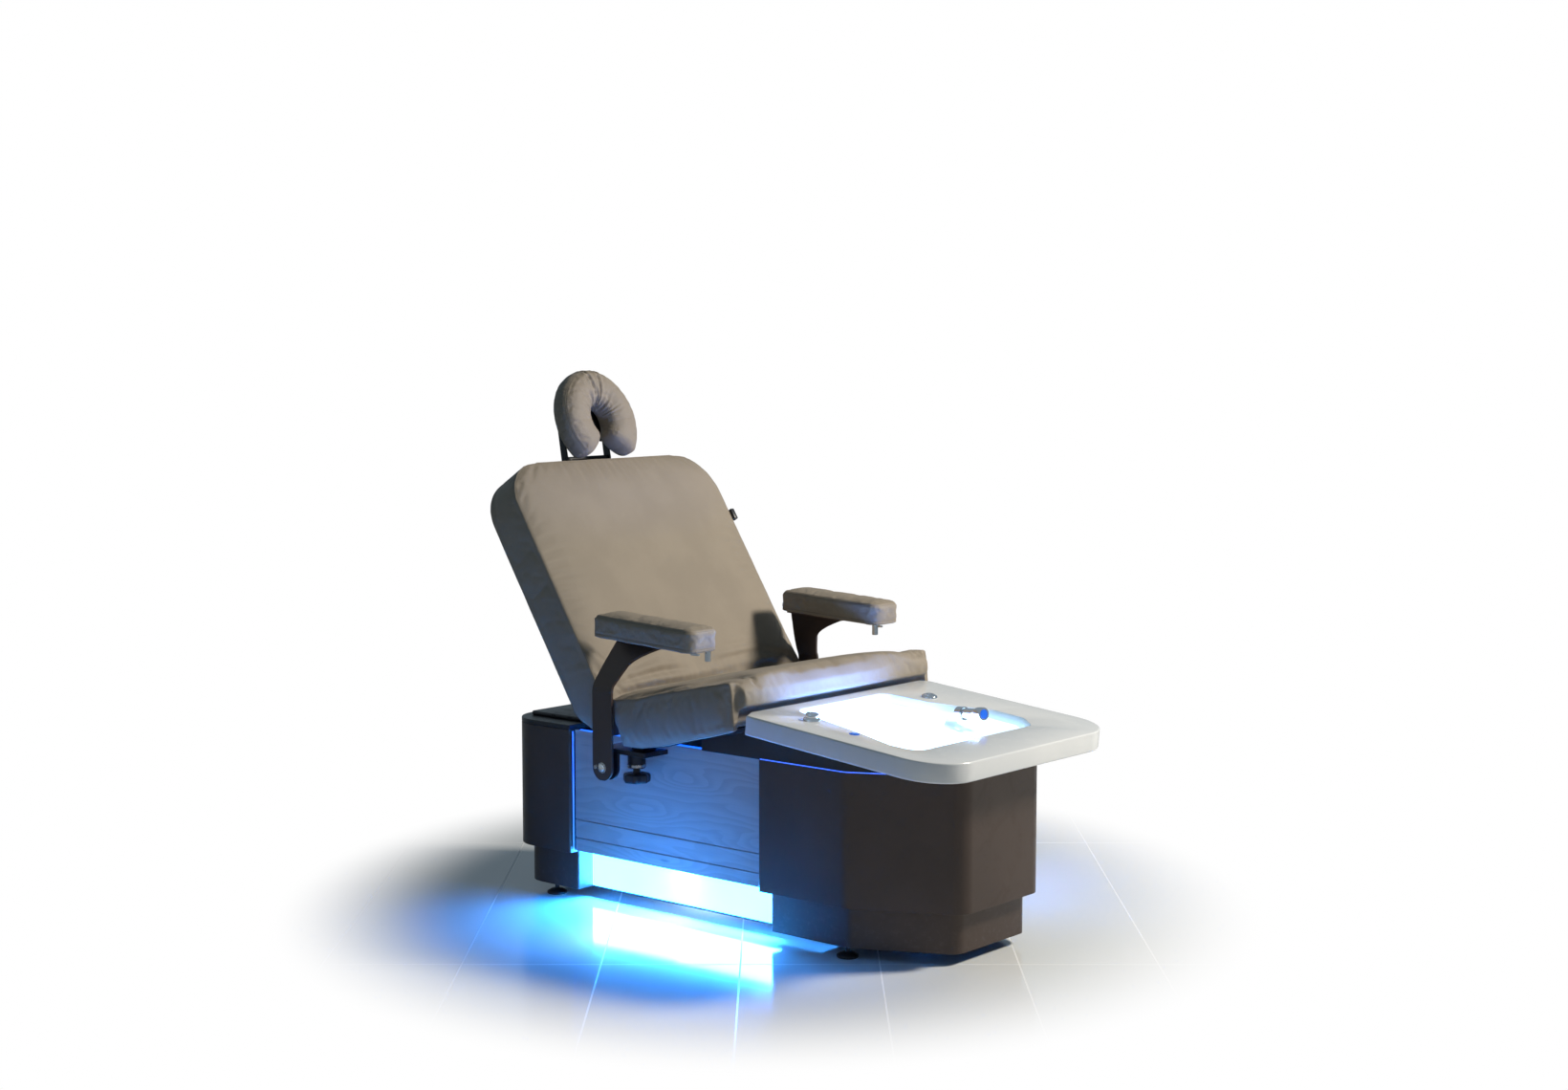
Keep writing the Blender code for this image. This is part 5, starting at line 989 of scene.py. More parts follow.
def coordinates(mesh):
    """Vertex coordinates as rows."""
    rows = np.empty(len(mesh.vertices) * 3)
    mesh.vertices.foreach_get("co", rows)
    return rows.reshape(-1, 3)


def normals(mesh):
    """Vertex normals as rows."""
    rows = np.empty(len(mesh.vertices) * 3)
    mesh.vertices.foreach_get("normal", rows)
    return rows.reshape(-1, 3)


def set_coordinates(mesh, rows):
    """Put rows of coordinates back into a mesh."""
    mesh.vertices.foreach_set("co", rows.ravel())
    mesh.update()


def nearest(paths, rows):
    """Distance from each row to the nearest path, and how far along its path that point lies."""
    marks = [(point, i / max(1, len(path) - 1)) for path in paths for i, point in enumerate(path)]
    tree = KDTree(len(marks))
    for i, (point, _) in enumerate(marks):
        tree.insert(point, i)
    tree.balance()
    away, share = np.empty(len(rows)), np.empty(len(rows))
    for i, row in enumerate(rows):
        _, found, away[i] = tree.find(row)
        share[i] = marks[found][1]
    return away, share


def voxel_skin(node, voxel, draw_in, passes=2):
    """An even quad skin of a soft node, a little smaller than the node."""
    bm = merged_copy(node)
    mesh = bpy.data.meshes.new("skin")
    bm.to_mesh(mesh)
    bm.free()
    item = linked("skin", mesh)
    even = item.modifiers.new("even", "REMESH")
    even.mode = "VOXEL"
    even.voxel_size = voxel
    mesh = evaluated_mesh(item)
    bm = bmesh.new()
    bm.from_mesh(mesh)
    for _ in range(passes):
        bmesh.ops.smooth_vert(bm, verts=bm.verts, factor=0.5, use_axis_x=True, use_axis_y=True,
                              use_axis_z=True)
    bm.to_mesh(mesh)
    bm.free()
    set_coordinates(mesh, coordinates(mesh) - normals(mesh) * draw_in)
    return mesh


def swollen(mesh, held, cap, slack):
    """The skin after a short cloth run: held vertices stay, the rest fills out under pressure."""
    rest = coordinates(mesh)
    item = linked("cloth", mesh.copy())
    group = item.vertex_groups.new(name="held")
    for i, weight in enumerate(held):
        if weight > 0.01:
            group.add([i], float(weight), "REPLACE")
    run = item.modifiers.new("cloth", "CLOTH")
    settings = run.settings
    settings.quality = 4
    settings.mass = 0.3
    settings.tension_stiffness = 12.0
    settings.compression_stiffness = 12.0
    settings.bending_stiffness = 0.3
    settings.use_pressure = True
    settings.uniform_pressure_force = CLOTH_PRESSURE
    settings.shrink_min = -slack
    settings.vertex_group_mass = "held"
    settings.effector_weights.gravity = 0.0
    run.point_cache.frame_start = 1
    run.point_cache.frame_end = CLOTH_FRAMES
    scene = bpy.context.scene
    for number in range(1, CLOTH_FRAMES + 1):
        scene.frame_set(number)
    moved = coordinates(evaluated_mesh(item))
    scene.frame_set(1)
    step = moved - rest
    length = np.linalg.norm(step, axis=1) + 1e-9
    return rest + step * (cap * np.tanh(length / cap) / length)[:, None]


def creased(rows, creases):
    """How far each row moves in or out where folds run: (points, width, depth)."""
    push = np.zeros(len(rows))
    for points, width, depth in creases:
        away, share = nearest([resampled(points, 0.003)], rows)
        fade = np.sin(np.pi * np.clip(share, 0.02, 0.98)) ** 0.6
        valley = np.exp(-(away / width) ** 2)
        ridge = np.exp(-((away - 2.1 * width) / (1.3 * width)) ** 2)
        push += depth * fade * (0.55 * ridge - valley)
    return push


def waviness(rows, size, seed):
    """Soft unevenness of filled upholstery, from -1 to 1."""
    return np.array([noise.noise(Vector(row) / size + Vector((seed, 0.0, 0.0))) for row in rows])


def gathers(points, inward, reach, every, seed):
    """Short puckers that run from a seam into its panel."""
    chance = np.random.default_rng(seed)
    made = []
    for point in resampled(points, every):
        run = reach * chance.uniform(0.45, 1.0)
        lean = Vector(chance.uniform(-0.25, 0.25, 3))
        way = (Vector(inward) + lean).normalized()
        made.append(([point, point + way * run], 0.0030, 0.0011 * chance.uniform(0.5, 1.0)))
    return made


def placed(points):
    """Points of the drawing frame in the packed model's."""
    return [Vector(point) + SHIFT for point in points]


def upholstered(name, node, seams, voxel, cap, firm, creases=(), shape=None, slack=0.02,
                wave=0.0006, draw_in=0.003, passes=2):
    """A soft node as a filled cover: cloth run, seams, folds and unevenness."""
    mesh = voxel_skin(node, voxel, draw_in, passes)
    rest = coordinates(mesh)
    paths = [resampled(points, 0.004, closed) for points, closed in seams]
    held = np.clip(1.5 - nearest(paths, rest)[0] / (1.5 * voxel), 0.0, 1.0)
    held = np.maximum(held, firm(rest))
    set_coordinates(mesh, swollen(mesh, held, cap, slack))
    item = linked("finer", mesh)
    finer = item.modifiers.new("finer", "SUBSURF")
    finer.levels = finer.render_levels = 1
    mesh = evaluated_mesh(item)
    rows = coordinates(mesh)
    push = -0.0015 * np.exp(-(nearest(paths, rows)[0] / 0.0040) ** 2)
    push += creased(rows, creases) + wave * waviness(rows, 0.07, 3.0)
    if shape is not None:
        push += shape(rows)
    set_coordinates(mesh, rows + normals(mesh) * push[:, None])
    item = piece(name, mesh, "taupe_leather", BODY_OF[node], (node,), drawn=False, smooth=180.0)
    return item


def laid_on(item, points, closed, lift):
    """A path laid on a piece's surface."""
    tree = BVHTree.FromObject(item, bpy.context.evaluated_depsgraph_get())
    made = []
    for point in resampled(points, 0.004, closed):
        place, normal, _, _ = tree.find_nearest(point)
        made.append(place + normal * lift)
    for _ in range(2):
        after = made[1:] + made[:1]
        eased = [(made[i - 1] + made[i] * 2.0 + after[i]) / 4.0 for i in range(len(made))]
        made = eased if closed else [made[0]] + eased[1:-1] + [made[-1]]
    return made


def sewn(name, item, body, folds, rows):
    """The seam folds and stitch rows of a cover, laid on its surface."""
    chosen = bpy.context.scene.chair_leather
    if folds:
        paths = [(laid_on(item, points, closed, -0.0002), closed) for points, closed in folds]
        # painted shade: the seam folds take a darker copy of the leather's colour
        mesh = row_mesh(seam_folds(), paths, {"Radius": 0.0011}, "seam_fold")
        piece(name + "_folds", mesh, "seam_fold", body, drawn=False)
    if rows:
        paths = [(laid_on(item, points, closed, 0.0002), closed) for points, closed in rows]
        mesh = row_mesh(stitch_rows(), paths, {"Pitch": chosen.pitch, "Stitch": chosen.stitch,
                                               "Thread": chosen.thread}, "sewing_thread")
        piece(name + "_stitches", mesh, "sewing_thread", body, drawn=False)


def seat_edges(inset=0.0):
    """Top edge of each side of the seat, on down the front of its cheek."""
    edges = []
    for _, side in SIDES:
        y = side * (SEAT_HALF_WIDTH - SEAT_SEAM_INSET - inset)
        top = [(x, y, height_on(SEAT_TOP, x) - SEAT_SEAM_INSET + 0.3 * inset)
               for x in np.linspace(-0.440, -0.002, SEAT_TOP_POINTS)]
        edges.append((placed(top + [(x - inset, y, z) for x, z in CHEEK_FRONT]), False))
    return edges


def make_seat_cushion():
    """The seat cushion with its cheeks beside the basin."""
    body = BODY_OF["seat_cushion"]
    low = [(placed([(x, side * (SEAT_HALF_WIDTH - 0.003), height_on(SEAT_BOTTOM, x) + 0.003)
                    for x in np.linspace(-0.385, 0.004, 24)]), False) for _, side in SIDES]
    tops = seat_edges()

    def firm(rows):
        x = rows[:, 0] - SHIFT.x
        under = np.interp(x, [p[0] for p in SEAT_BOTTOM], [p[1] for p in SEAT_BOTTOM])
        on_slab = (x > -0.012) & (rows[:, 2] < 0.658)
        to_socket = np.hypot(x - SOCKET_PLACE[0], np.abs(rows[:, 1]) - SOCKET_PLACE[1])
        flat = np.where(rows[:, 2] > SOCKET_LOW, np.clip(1.9 - to_socket / SOCKET_ROOM, 0.0, 1.0), 0.0)
        return np.maximum(((rows[:, 2] < under + 0.016) | on_slab).astype(float), flat)

    folds = []
    for y_sign, lines in ((1.0, RIGHT_FOLDS), (-1.0, LEFT_FOLDS)):
        for line, (width, depth) in zip(lines, FOLD_SIZES):
            points = [(x, y * y_sign, height_on(SEAT_TOP, x) + 0.008) for x, y in line]
            folds.append((placed(points), width, depth))
    for (_, side), (points, _) in zip(SIDES, tops):
        front = points[SEAT_TOP_POINTS:]
        folds += gathers(points[:12], (0.0, -side, 0.0), 0.030, 0.016, 5)
        folds += gathers(front, (0.0, -side, 0.0), 0.020, 0.011, 7)
        folds += gathers(front, (-1.0, 0.0, 0.0), 0.026, 0.013, 9)
    cushion = upholstered("seat_cover", "seat_cushion", tops + low, 0.0075, 0.013, firm, folds, slack=0.03)
    sewn("seat", cushion, body, tops + low, seat_edges(0.007))


def back_loop(inset, m, low):
    """Outline of the backrest at one depth."""
    half, high = BACK_HALF_WIDTH - inset, BACK_LENGTH - inset
    corners = [(-half, low + inset), (half, low + inset), (half, high), (-half, high)]
    radii = [max(radius - inset, 0.01) for radius in BACK_CORNERS]
    return placed([back_point(y, u, m) for y, u in rounded(corners, radii, 14)])


def make_back_cushion():
    """The backrest cushion."""
    front, rear = back_loop(0.002, 0.000, 0.0), back_loop(0.004, BACK_REAR_SEAM, BACK_REAR_LOW)
    heels = [(placed([back_point(side * (BACK_HALF_WIDTH - 0.003), u, m) for u, m in BACK_HEEL]), False)
             for _, side in SIDES]
    seams = [(front, True), (rear, True)] + heels

    def firm(rows):
        from_back = rows - np.array(Vector((BACK_X, 0.0, BACK_Z)) + SHIFT)
        m, u = from_back @ np.array(BACK_OUT), from_back @ np.array(BACK_UP)
        return ((m < -0.122) | ((m < -0.060) & (u < 0.015) & (abs(rows[:, 1]) < 0.40))).astype(float)

    folds = []
    for line, width, depth in BACK_FOLDS:
        folds.append((placed([back_point(y, u, 0.006) for y, u in line]), width, depth))
    for _, side in SIDES:
        corner = placed([back_point(side * 0.428, u, -0.002) for u in (0.012, 0.040, 0.075, 0.110)])
        folds += gathers(corner, Vector((0.0, -side, 0.0)) + BACK_UP * 0.4, 0.034, 0.013, 11)
        folds += gathers(corner, -BACK_OUT, 0.030, 0.014, 13)
    cushion = upholstered("back_cover", "back_cushion", seams, 0.0085, 0.012, firm, folds, slack=0.015)
    sewn("back", cushion, BODY_OF["back_cushion"], seams, [(back_loop(0.009, 0.004, 0.0), True)])


def pad_loop(side, inset, h):
    """Outline of an armrest pad at one height."""
    low, high = PAD_INNER + inset, PAD_INNER + PAD_WIDTH - inset
    corners = [(inset, low), (PAD_LENGTH - inset, low), (PAD_LENGTH - inset, high), (inset, high)]
    outline = rounded(corners, [0.011, 0.028, 0.028, 0.011], 8)
    return placed([pad_point(a, side * y, h) for a, y in outline])


def make_armrest_pads():
    """Both armrest pads."""
    for side_name, side in SIDES:
        node = "armrest_pad_" + side_name
        top, lip = pad_loop(side, 0.003, PAD_THICKNESS - 0.004), pad_loop(side, 0.001, 0.009)

        def firm(rows):
            x = rows[:, 0] - SHIFT.x
            under = PAD_TOP_Z - PAD_THICKNESS - (x - PAD_BACK_X) * math.tan(PAD_TILT)
            return (rows[:, 2] < under + 0.011).astype(float)

        folds = []
        for corner in (30, 12):
            folds += gathers(top[corner:corner + 6], (0.0, 0.0, -1.0), 0.018, 0.008, 17)
        seams = [(top, True), (lip, True)]
        cushion = upholstered("pad_cover_" + side_name, node, seams, 0.005, 0.006, firm, folds,
                              wave=0.0003, draw_in=-0.0010, passes=1)
        sewn("pad_" + side_name, cushion, BODY_OF[node], seams,
             [(pad_loop(side, 0.009, PAD_THICKNESS), True)])


def horseshoe(angle, wide, deep):
    """A point of the face cradle: round the horseshoe, across it (1 is its outer edge) and forward."""
    sine, cosine = math.sin(angle), math.cos(angle)
    out = Vector((sine / CRADLE_HALF_WIDTH, cosine / CRADLE_RISE)).normalized()
    flat = Vector((CRADLE_HALF_WIDTH * sine, CRADLE_RISE * cosine)) + out * (CRADLE_PAD_HALF * wide)
    return cradle_point(flat.x, flat.y, CRADLE_THICKNESS / 2.0 * (deep - 1.0))


def make_face_cradle():
    """The face cradle's horseshoe cushion."""
    spread = np.linspace(-CRADLE_SWEEP, CRADLE_SWEEP, 60)
    seams = [(placed([horseshoe(a, wide, deep) for a in spread]), False)
             for wide, deep in ((0.90, 0.62), (-0.88, 0.66), (0.96, -0.80))]
    pleats = [(placed([horseshoe(a, wide, deep) for wide, deep in PLEAT_LINE]), False)
              for a in (-CRADLE_PLEAT, CRADLE_PLEAT)]
    middle = np.array(CRADLE_MIDDLE + SHIFT)

    def firm(rows):
        return ((rows - middle) @ np.array(CRADLE_OUT) < 0.008 - CRADLE_THICKNESS).astype(float)

    def radial(rows):
        """Gathers that fan out from the inside of the horseshoe."""
        away = rows - middle
        v, m = away @ np.array(CRADLE_UP), away @ np.array(CRADLE_OUT)
        angle = np.arctan2(away[:, 1] / CRADLE_HALF_WIDTH, v / CRADLE_RISE)
        reach = np.hypot(away[:, 1] / CRADLE_HALF_WIDTH, v / CRADLE_RISE)
        beat = np.sin(angle * 27.0 + 1.7 * np.sin(angle * 5.0)) * (0.6 + 0.4 * np.sin(angle * 11.0 + 0.7))
        inward = np.clip(1.06 - reach, 0.0, 0.5) * 2.0
        front = np.clip((m + 0.045) / 0.03, 0.0, 1.0)
        top = np.clip(0.35 + 0.65 * np.cos(angle), 0.12, 1.0)
        return 0.0036 * beat * inward * front * top

    folds = [(points, 0.0046, 0.0052) for points, _ in pleats]
    cushion = upholstered("cradle_cover", "face_cradle", seams + pleats, 0.0045, 0.007, firm, folds, radial,
                          wave=0.0005, draw_in=-0.0035, passes=1)
    sewn("cradle", cushion, BODY_OF["face_cradle"], seams + pleats,
         [(placed([horseshoe(a, 0.74, 0.80) for a in spread]), False)])


# ---------------------------------------------------------------- steelwork, covers and lights
def make_pedestals():
    """The folded shells and plinths, in bronze."""
    front_bends = [0.0, SMALL_BEND, SHELL_BEND, SHELL_BEND]
    rear_bends = [0.0, SMALL_BEND, REAR_CORNER]
    for node, path, bends in (("front_shell", shell_path(), front_bends),
                              ("rear_shell", rear_path(), rear_bends)):
        outline = folded_sheet(mirrored(path), bends + bends[::-1], SHEET)
        piece(node + "_skin", prism(outline, "Z", SHELL_BOTTOM, SHELL_TOP), "bronze_steel", BODY_OF[node],
              (node,), bevel=0.0008)
    for node in ("front_plinth", "rear_plinth"):
        refined(node, bevel=0.0006)


def make_side_panels():
    """The oak side panels."""
    for side_name, _ in SIDES:
        refined("side_panel_" + side_name, bevel=0.0010)


def make_light_band():
    """The lit diffusers, the rail under them, and the light lines of the carriage."""
    base, carriage = BODY_OF["front_plinth"], BODY_OF["front_shell"]
    for side_name, side in SIDES:
        refined("led_diffuser_" + side_name, bevel=0.0008)
        rail = box((LED_SPAN[0] + 0.001, LED_SPAN[1] - 0.001),
                   beside(side, LED_FACE - 0.006, LED_FACE + 0.0015), BAND_RAIL_Z)
        piece("band_rail_" + side_name, rail, "black_steel", base, bevel=0.0004)
        # painted glow: a glowing line down the rear shell's front edge stands for blue light seen at that
        # edge
        near = beside(side, SHELL_HALF_WIDTH - 0.0165, SHELL_HALF_WIDTH - 0.0115)
        line = box((REAR_NEAR_X, REAR_NEAR_X + 0.0012), near, (SHELL_BOTTOM + 0.004, SHELL_TOP - 0.004))
        piece("edge_painted_glow_" + side_name, line, "light_line", carriage)
        wash = box((REAR_NEAR_X + 0.020, -0.020), beside(side, PANEL_FACE - 0.010, PANEL_FACE - 0.004),
                   (SHELL_TOP + 0.0004, SHELL_TOP + 0.0024))
        piece("panel_top_light_" + side_name, wash, "light_wash", carriage)
    # painted glow: a glowing line along the front shell's top edge stands for its rim lit blue
    rings = []
    for inset, lift in PAINTED_TOP_GLOW:
        path = offset_path(mirrored(shell_path()[1:]), inset)
        path[0], path[-1] = (0.004, path[0][1]), (0.004, path[-1][1])
        bend = SHELL_BEND - inset
        rings.append([(x, y, SHELL_TOP + lift)
                      for x, y in rounded_path(path, [0.0, bend, bend, bend, bend, 0.0])])
    painted_glow_strip = loft([list(row) for row in zip(*rings)])
    piece("shell_top_painted_glow", painted_glow_strip, "light_line", carriage)


def make_covers():
    """Rear cap, slotted hinge cover and the skirt round the basin."""
    carriage = BODY_OF["rear_cap"]
    corners = mirrored(rear_path())[1:-1]
    lid = rounded(corners, [SMALL_BEND, REAR_CORNER, REAR_CORNER, SMALL_BEND], 18)
    piece("rear_cap_skin", prism(lid, "Z", SHELL_TOP + 0.0003, CAP_TOP), "black_plastic", carriage,
          ("rear_cap",), bevel=0.0022)
    refined("hinge_cover", bevel=0.0012)
    for side_name, side in SIDES:
        across = beside(side, COVER_HALF_WIDTH - 0.001, COVER_HALF_WIDTH + 0.0006)
        upright = (CAP_TOP + 0.0020, COVER_TOP - 0.0025)
        # painted shade: near-black boxes on the cover's sides stand for the shade inside its slots
        slot_shades = [box((x, x + SLOT_WIDTH), across, upright) for x in COVER_SLOTS]
        piece("cover_slot_shade_" + side_name, merged(*slot_shades), "dark_recess", carriage)
    refined("basin_skirt", smooth=30.0, bevel=0.0010)


def make_chassis():
    """Chassis, lifting columns, feet and the power inlet."""
    for side_name, _ in SIDES:
        for node in ("chassis_rail_", "carriage_rail_", "foot_front_", "foot_rear_"):
            refined(node + side_name, bevel=0.0008)
    for end in ("front", "rear"):
        refined("lift_column_%s_outer" % end, bevel=0.0012)
        refined("lift_column_%s_inner" % end, bevel=0.0012)
    refined("power_inlet", bevel=0.0006)
    for y in (-INLET_PITCH, 0.0, INLET_PITCH):
        low = 0.0790 if y else 0.0860
        pin = box((-0.9500, -0.9400), (y - 0.0009, y + 0.0009), (low, low + 0.0060))
        piece("inlet_pin_%d" % round(1000 * (y + 0.01)), pin, "chrome", BODY_OF["power_inlet"])


def make_boards():
    """The boards of the seat and the back with their screws, and the control clip."""
    refined("seat_board", bevel=0.0010)
    refined("back_board", bevel=0.0012)
    refined("control_clip", bevel=0.0012)
    places = [back_point(y, u, BOARD_FACE) + SHIFT
              for y in (-0.36, -0.13, 0.13, 0.36) for u in (0.13, 0.36, 0.58)]
    mesh = row_mesh(screw_heads(), [([place], False) for place in places],
                    {"Radius": 0.0045, "Height": 0.0030, "Turn": math.pi / 2.0 - RECLINE}, "zinc_screw")
    piece("back_board_screws", mesh, "zinc_screw", BODY_OF["back_board"], drawn=False)


# ---------------------------------------------------------------- basin
def slab_height_at(s, z):
    """Height above the slab's top, square to it, of the point at s and z."""
    return (z - SLAB_Z + s * math.sin(SLAB_TILT)) / math.cos(SLAB_TILT)


def basin_rings():
    """Rings of the slab and its tub, from the middle of the underside round to the tub's floor."""
    corners = [(0.0, -SLAB_HALF_WIDTH), (SLAB_LENGTH, -SLAB_HALF_WIDTH), (SLAB_LENGTH, SLAB_HALF_WIDTH),
               (0.0, SLAB_HALF_WIDTH)]
    edge = rounded(corners, [0.020, 0.130, 0.130, 0.020], 20)
    opening = rounded([(s, y) for s, y, _ in OPENING], [r for _, _, r in OPENING], 14)
    bowl = rounded([(s, y) for s, y, _ in BOWL], [r for _, _, r in BOWL], 14)
    inside = offset_path(mirrored(shell_path()[1:]), TUB_TO_SHELL)
    inside[0], inside[-1] = (SHEET, inside[0][1]), (SHEET, inside[-1][1])
    hollow = rounded([((x - SLAB_X) / math.cos(SLAB_TILT), y) for x, y in inside],
                     [0.0, 0.04, 0.04, 0.04, 0.04, 0.0])
    angles = sorted({round(math.atan2(y - TUB_CENTRE[1], s - TUB_CENTRE[0]), 4) for s, y in edge}
                    | {round(-math.pi + math.radians(1.5) * (i + 0.5), 4) for i in range(240)})
    angles = [a for a, b in zip(angles, angles[1:] + [angles[0] + 2.0 * math.pi]) if b - a > 0.004]

    def ring(outline, inset, height, within=None):
        """One ring; its height is ("slab", h) square to the slab or ("level", z) above the floor."""
        points = []
        for angle in angles:
            reach = ray_length(outline, TUB_CENTRE, angle) - inset
            if within is not None:
                reach = min(reach, ray_length(hollow, TUB_CENTRE, angle) - within)
            s, y = TUB_CENTRE[0] + reach * math.cos(angle), TUB_CENTRE[1] + reach * math.sin(angle)
            level = height[0] == "level"
            points.append(slab_point(s, y, slab_height_at(s, height[1]) if level else height[1]))
        return points

    def rounded_rim(h, start, end, steps=5):
        """Rings round one edge of the slab's rim."""
        made = []
        for i in range(steps + 1):
            angle = start + (end - start) * i / steps
            made.append(ring(edge, SLAB_ROUND * (1.0 - math.cos(angle)),
                             ("slab", h + SLAB_ROUND * math.sin(angle))))
        return made

    wall, free = TUB_WALL, TUB_FREE
    quarter = math.pi / 2.0
    rings = [ring(bowl, 0.090, ("level", TUB_FLOOR_Z - wall), free + 0.060),
             ring(bowl, 0.075 - wall, ("level", TUB_FLOOR_Z - wall), free + 0.045),
             ring(bowl, 0.050 - wall, ("level", TUB_FLOOR_Z + 0.012), free + 0.020),
             ring(bowl, 0.030 - wall, ("slab", -SLAB_THICKNESS - 0.010), free + 0.004),
             ring(bowl, 0.026 - wall, ("slab", -SLAB_THICKNESS), free)]
    rings += rounded_rim(SLAB_ROUND - SLAB_THICKNESS, -quarter, 0.0)
    rings += rounded_rim(-SLAB_ROUND, 0.0, quarter)
    rings += [ring(opening, inset, ("slab", h)) for inset, h in
              ((-0.0035, 0.0), (-0.0014, -0.0006), (0.0, -0.0022), (0.0012, -0.0045), (0.0075, -0.0175),
               (0.0092, -0.0204), (0.0120, -0.0217), (0.0155, -SHELF_DEPTH))]
    rings += [ring(bowl, inset, ("slab", h - SHELF_DEPTH)) for inset, h in
              ((0.002, 0.0), (0.0045, -0.0006), (0.0072, -0.0026), (0.0090, -0.0056), (0.0100, -0.009))]
    rings += [ring(bowl, 0.024, ("slab", wall + 0.001 - SLAB_THICKNESS), free + wall),
              ring(bowl, 0.030, ("slab", -SLAB_THICKNESS - 0.010), free + wall + 0.004),
              ring(bowl, 0.052, ("level", TUB_FLOOR_Z + 0.020), free + wall + 0.022),
              ring(bowl, 0.062, ("level", TUB_FLOOR_Z + 0.009), free + wall + 0.032),
              ring(bowl, 0.075, ("level", TUB_FLOOR_Z + 0.003), free + wall + 0.045),
              ring(bowl, 0.100, ("level", TUB_FLOOR_Z), free + wall + 0.070)]
    return rings


def make_basin():
    """The white slab and its foot bowl."""
    piece("foot_basin_skin", loft(basin_rings()), "white_surface", BODY_OF["foot_basin"], ("foot_basin",),
          smooth=24.0)


def lathe(node, profile, base, direction, **extra):
    """A turned fitting in a node's place."""
    piece(node + "_finish", turned(profile, base, direction, **extra), SLOT_OF[node], BODY_OF[node],
          (node,), smooth=32.0)


def make_basin_fittings():
    """Jet, drain, buttons, mixer and hand shower."""
    for node in ("jet_nozzle", "drain_strainer", "shower_holder"):
        refined(node, bevel=0.0005)
    deck = slab_point(*BUTTON, 0.0)
    lathe("button_bezel", ((0.0195, -0.018), (0.0195, 0.0003), (0.0228, 0.0003), (0.0226, 0.0028),
                           (0.0212, 0.0050), (0.0190, 0.0064), (0.0166, 0.0068), (0.0148, 0.0062),
                           (0.0148, -0.015), (0.004, -0.015), (0.004, -0.018)), deck, SLAB_UP, ring_loop=True)
    lathe("chrome_button", ((0.0140, -0.0107), (0.0140, 0.0082), (0.0134, 0.0092), (0.0110, 0.0098),
                            (0.0096, 0.0094), (0.0092, 0.0088), (0.0062, 0.0090), (0.0060, 0.0098),
                            (0.0030, 0.0100)), deck, SLAB_UP)
    dots = []
    for i in range(18):
        angle = math.radians(20.0 * i)
        out = SLAB_DOWN * DOT_RING * math.cos(angle) + Vector((0.0, DOT_RING * math.sin(angle), 0.0))
        dots.append(turned(((0.0007, 0.0086), (0.0007, 0.0094), (0.0004, 0.0097)), deck + out, SLAB_UP, 8))
    piece("button_dots", merged(*dots), "zinc_screw", BODY_OF["chrome_button"])
    deck = slab_point(*MIXER, 0.0)
    lathe("mixer_collar", ((0.010, -0.016), (0.010, 0.0003), (0.0232, 0.0003), (0.0232, 0.0034),
                           (0.0226, 0.0046), (0.0206, 0.0074), (0.0198, 0.0088), (0.0180, 0.0090),
                           (0.0045, 0.0090), (0.0045, -0.016)), deck, SLAB_UP, ring_loop=True)
    top = slab_point(*MIXER, 0.0093)
    lathe("mixer_knob", ((0.0182, 0.0), (0.0182, 0.0066), (0.0178, 0.0082), (0.0165, 0.0094),
                         (0.0140, 0.0105), (0.0130, 0.0102), (0.0124, 0.0086), (0.0060, 0.0084)),
          top, SLAB_UP, waves=28, depth=0.012)
    x, y, z = top + Vector((-0.0144, 0.0, 0.0)) + SLAB_UP * 0.009
    pointer = box((x - 0.004, x + 0.004), (y - 0.0016, y + 0.0016), (z - 0.002, z + 0.0036))
    piece("mixer_pointer", pointer, "chrome", BODY_OF["mixer_knob"], bevel=0.0006)
    lathe("blue_button", ((0.0140, -0.010), (0.0140, -0.0002), (0.0136, 0.0010), (0.0122, 0.0018),
                          (0.0060, 0.0021)), slab_point(*BLUE_BUTTON, 0.0), SLAB_UP)
    make_hand_shower()


def make_hand_shower():
    """The hand shower in its holder, with its blue face and spray holes."""
    back, tip = slab_point(*SHOWER_BACK), slab_point(*SHOWER_TIP)
    run = (tip - back).normalized()
    length = (tip - back).length
    lathe("hand_shower", ((0.0108, 0.0), (0.0130, 0.0012), (0.0140, 0.0036), (0.0140, 0.62 * length),
                          (0.0143, 0.66 * length), (0.0152, 0.70 * length), (0.0166, 0.74 * length),
                          (0.0178, 0.79 * length), (0.0181, 0.84 * length), (0.0181, length - 0.0028),
                          (0.0177, length - 0.0008), (0.0168, length), (0.0132, length),
                          (0.0130, length - 0.0034)), back, run)
    lathe("shower_face", ((0.0126, length - 0.0032), (0.0126, length - 0.0002), (0.0118, length + 0.0008),
                          (0.0060, length + 0.0016)), back, run)
    spray = run.orthogonal().normalized()
    # painted shade: dark discs on the shower's face stand for the shade inside its spray holes
    hole_shades = []
    for reach, count in ((0.0, 1), (0.0048, 7), (0.0092, 13)):
        for i in range(count):
            out = Matrix.Rotation(2.0 * math.pi * i / count, 3, run) @ spray * reach
            height = length + 0.0016 - 0.0008 * reach / 0.0118
            hole_shades.append(turned(((0.0006, height - 0.001), (0.0006, height + 0.0003)), back + out, run, 8))
    piece("shower_hole_shade", merged(*hole_shades), "dark_recess", BODY_OF["shower_face"])


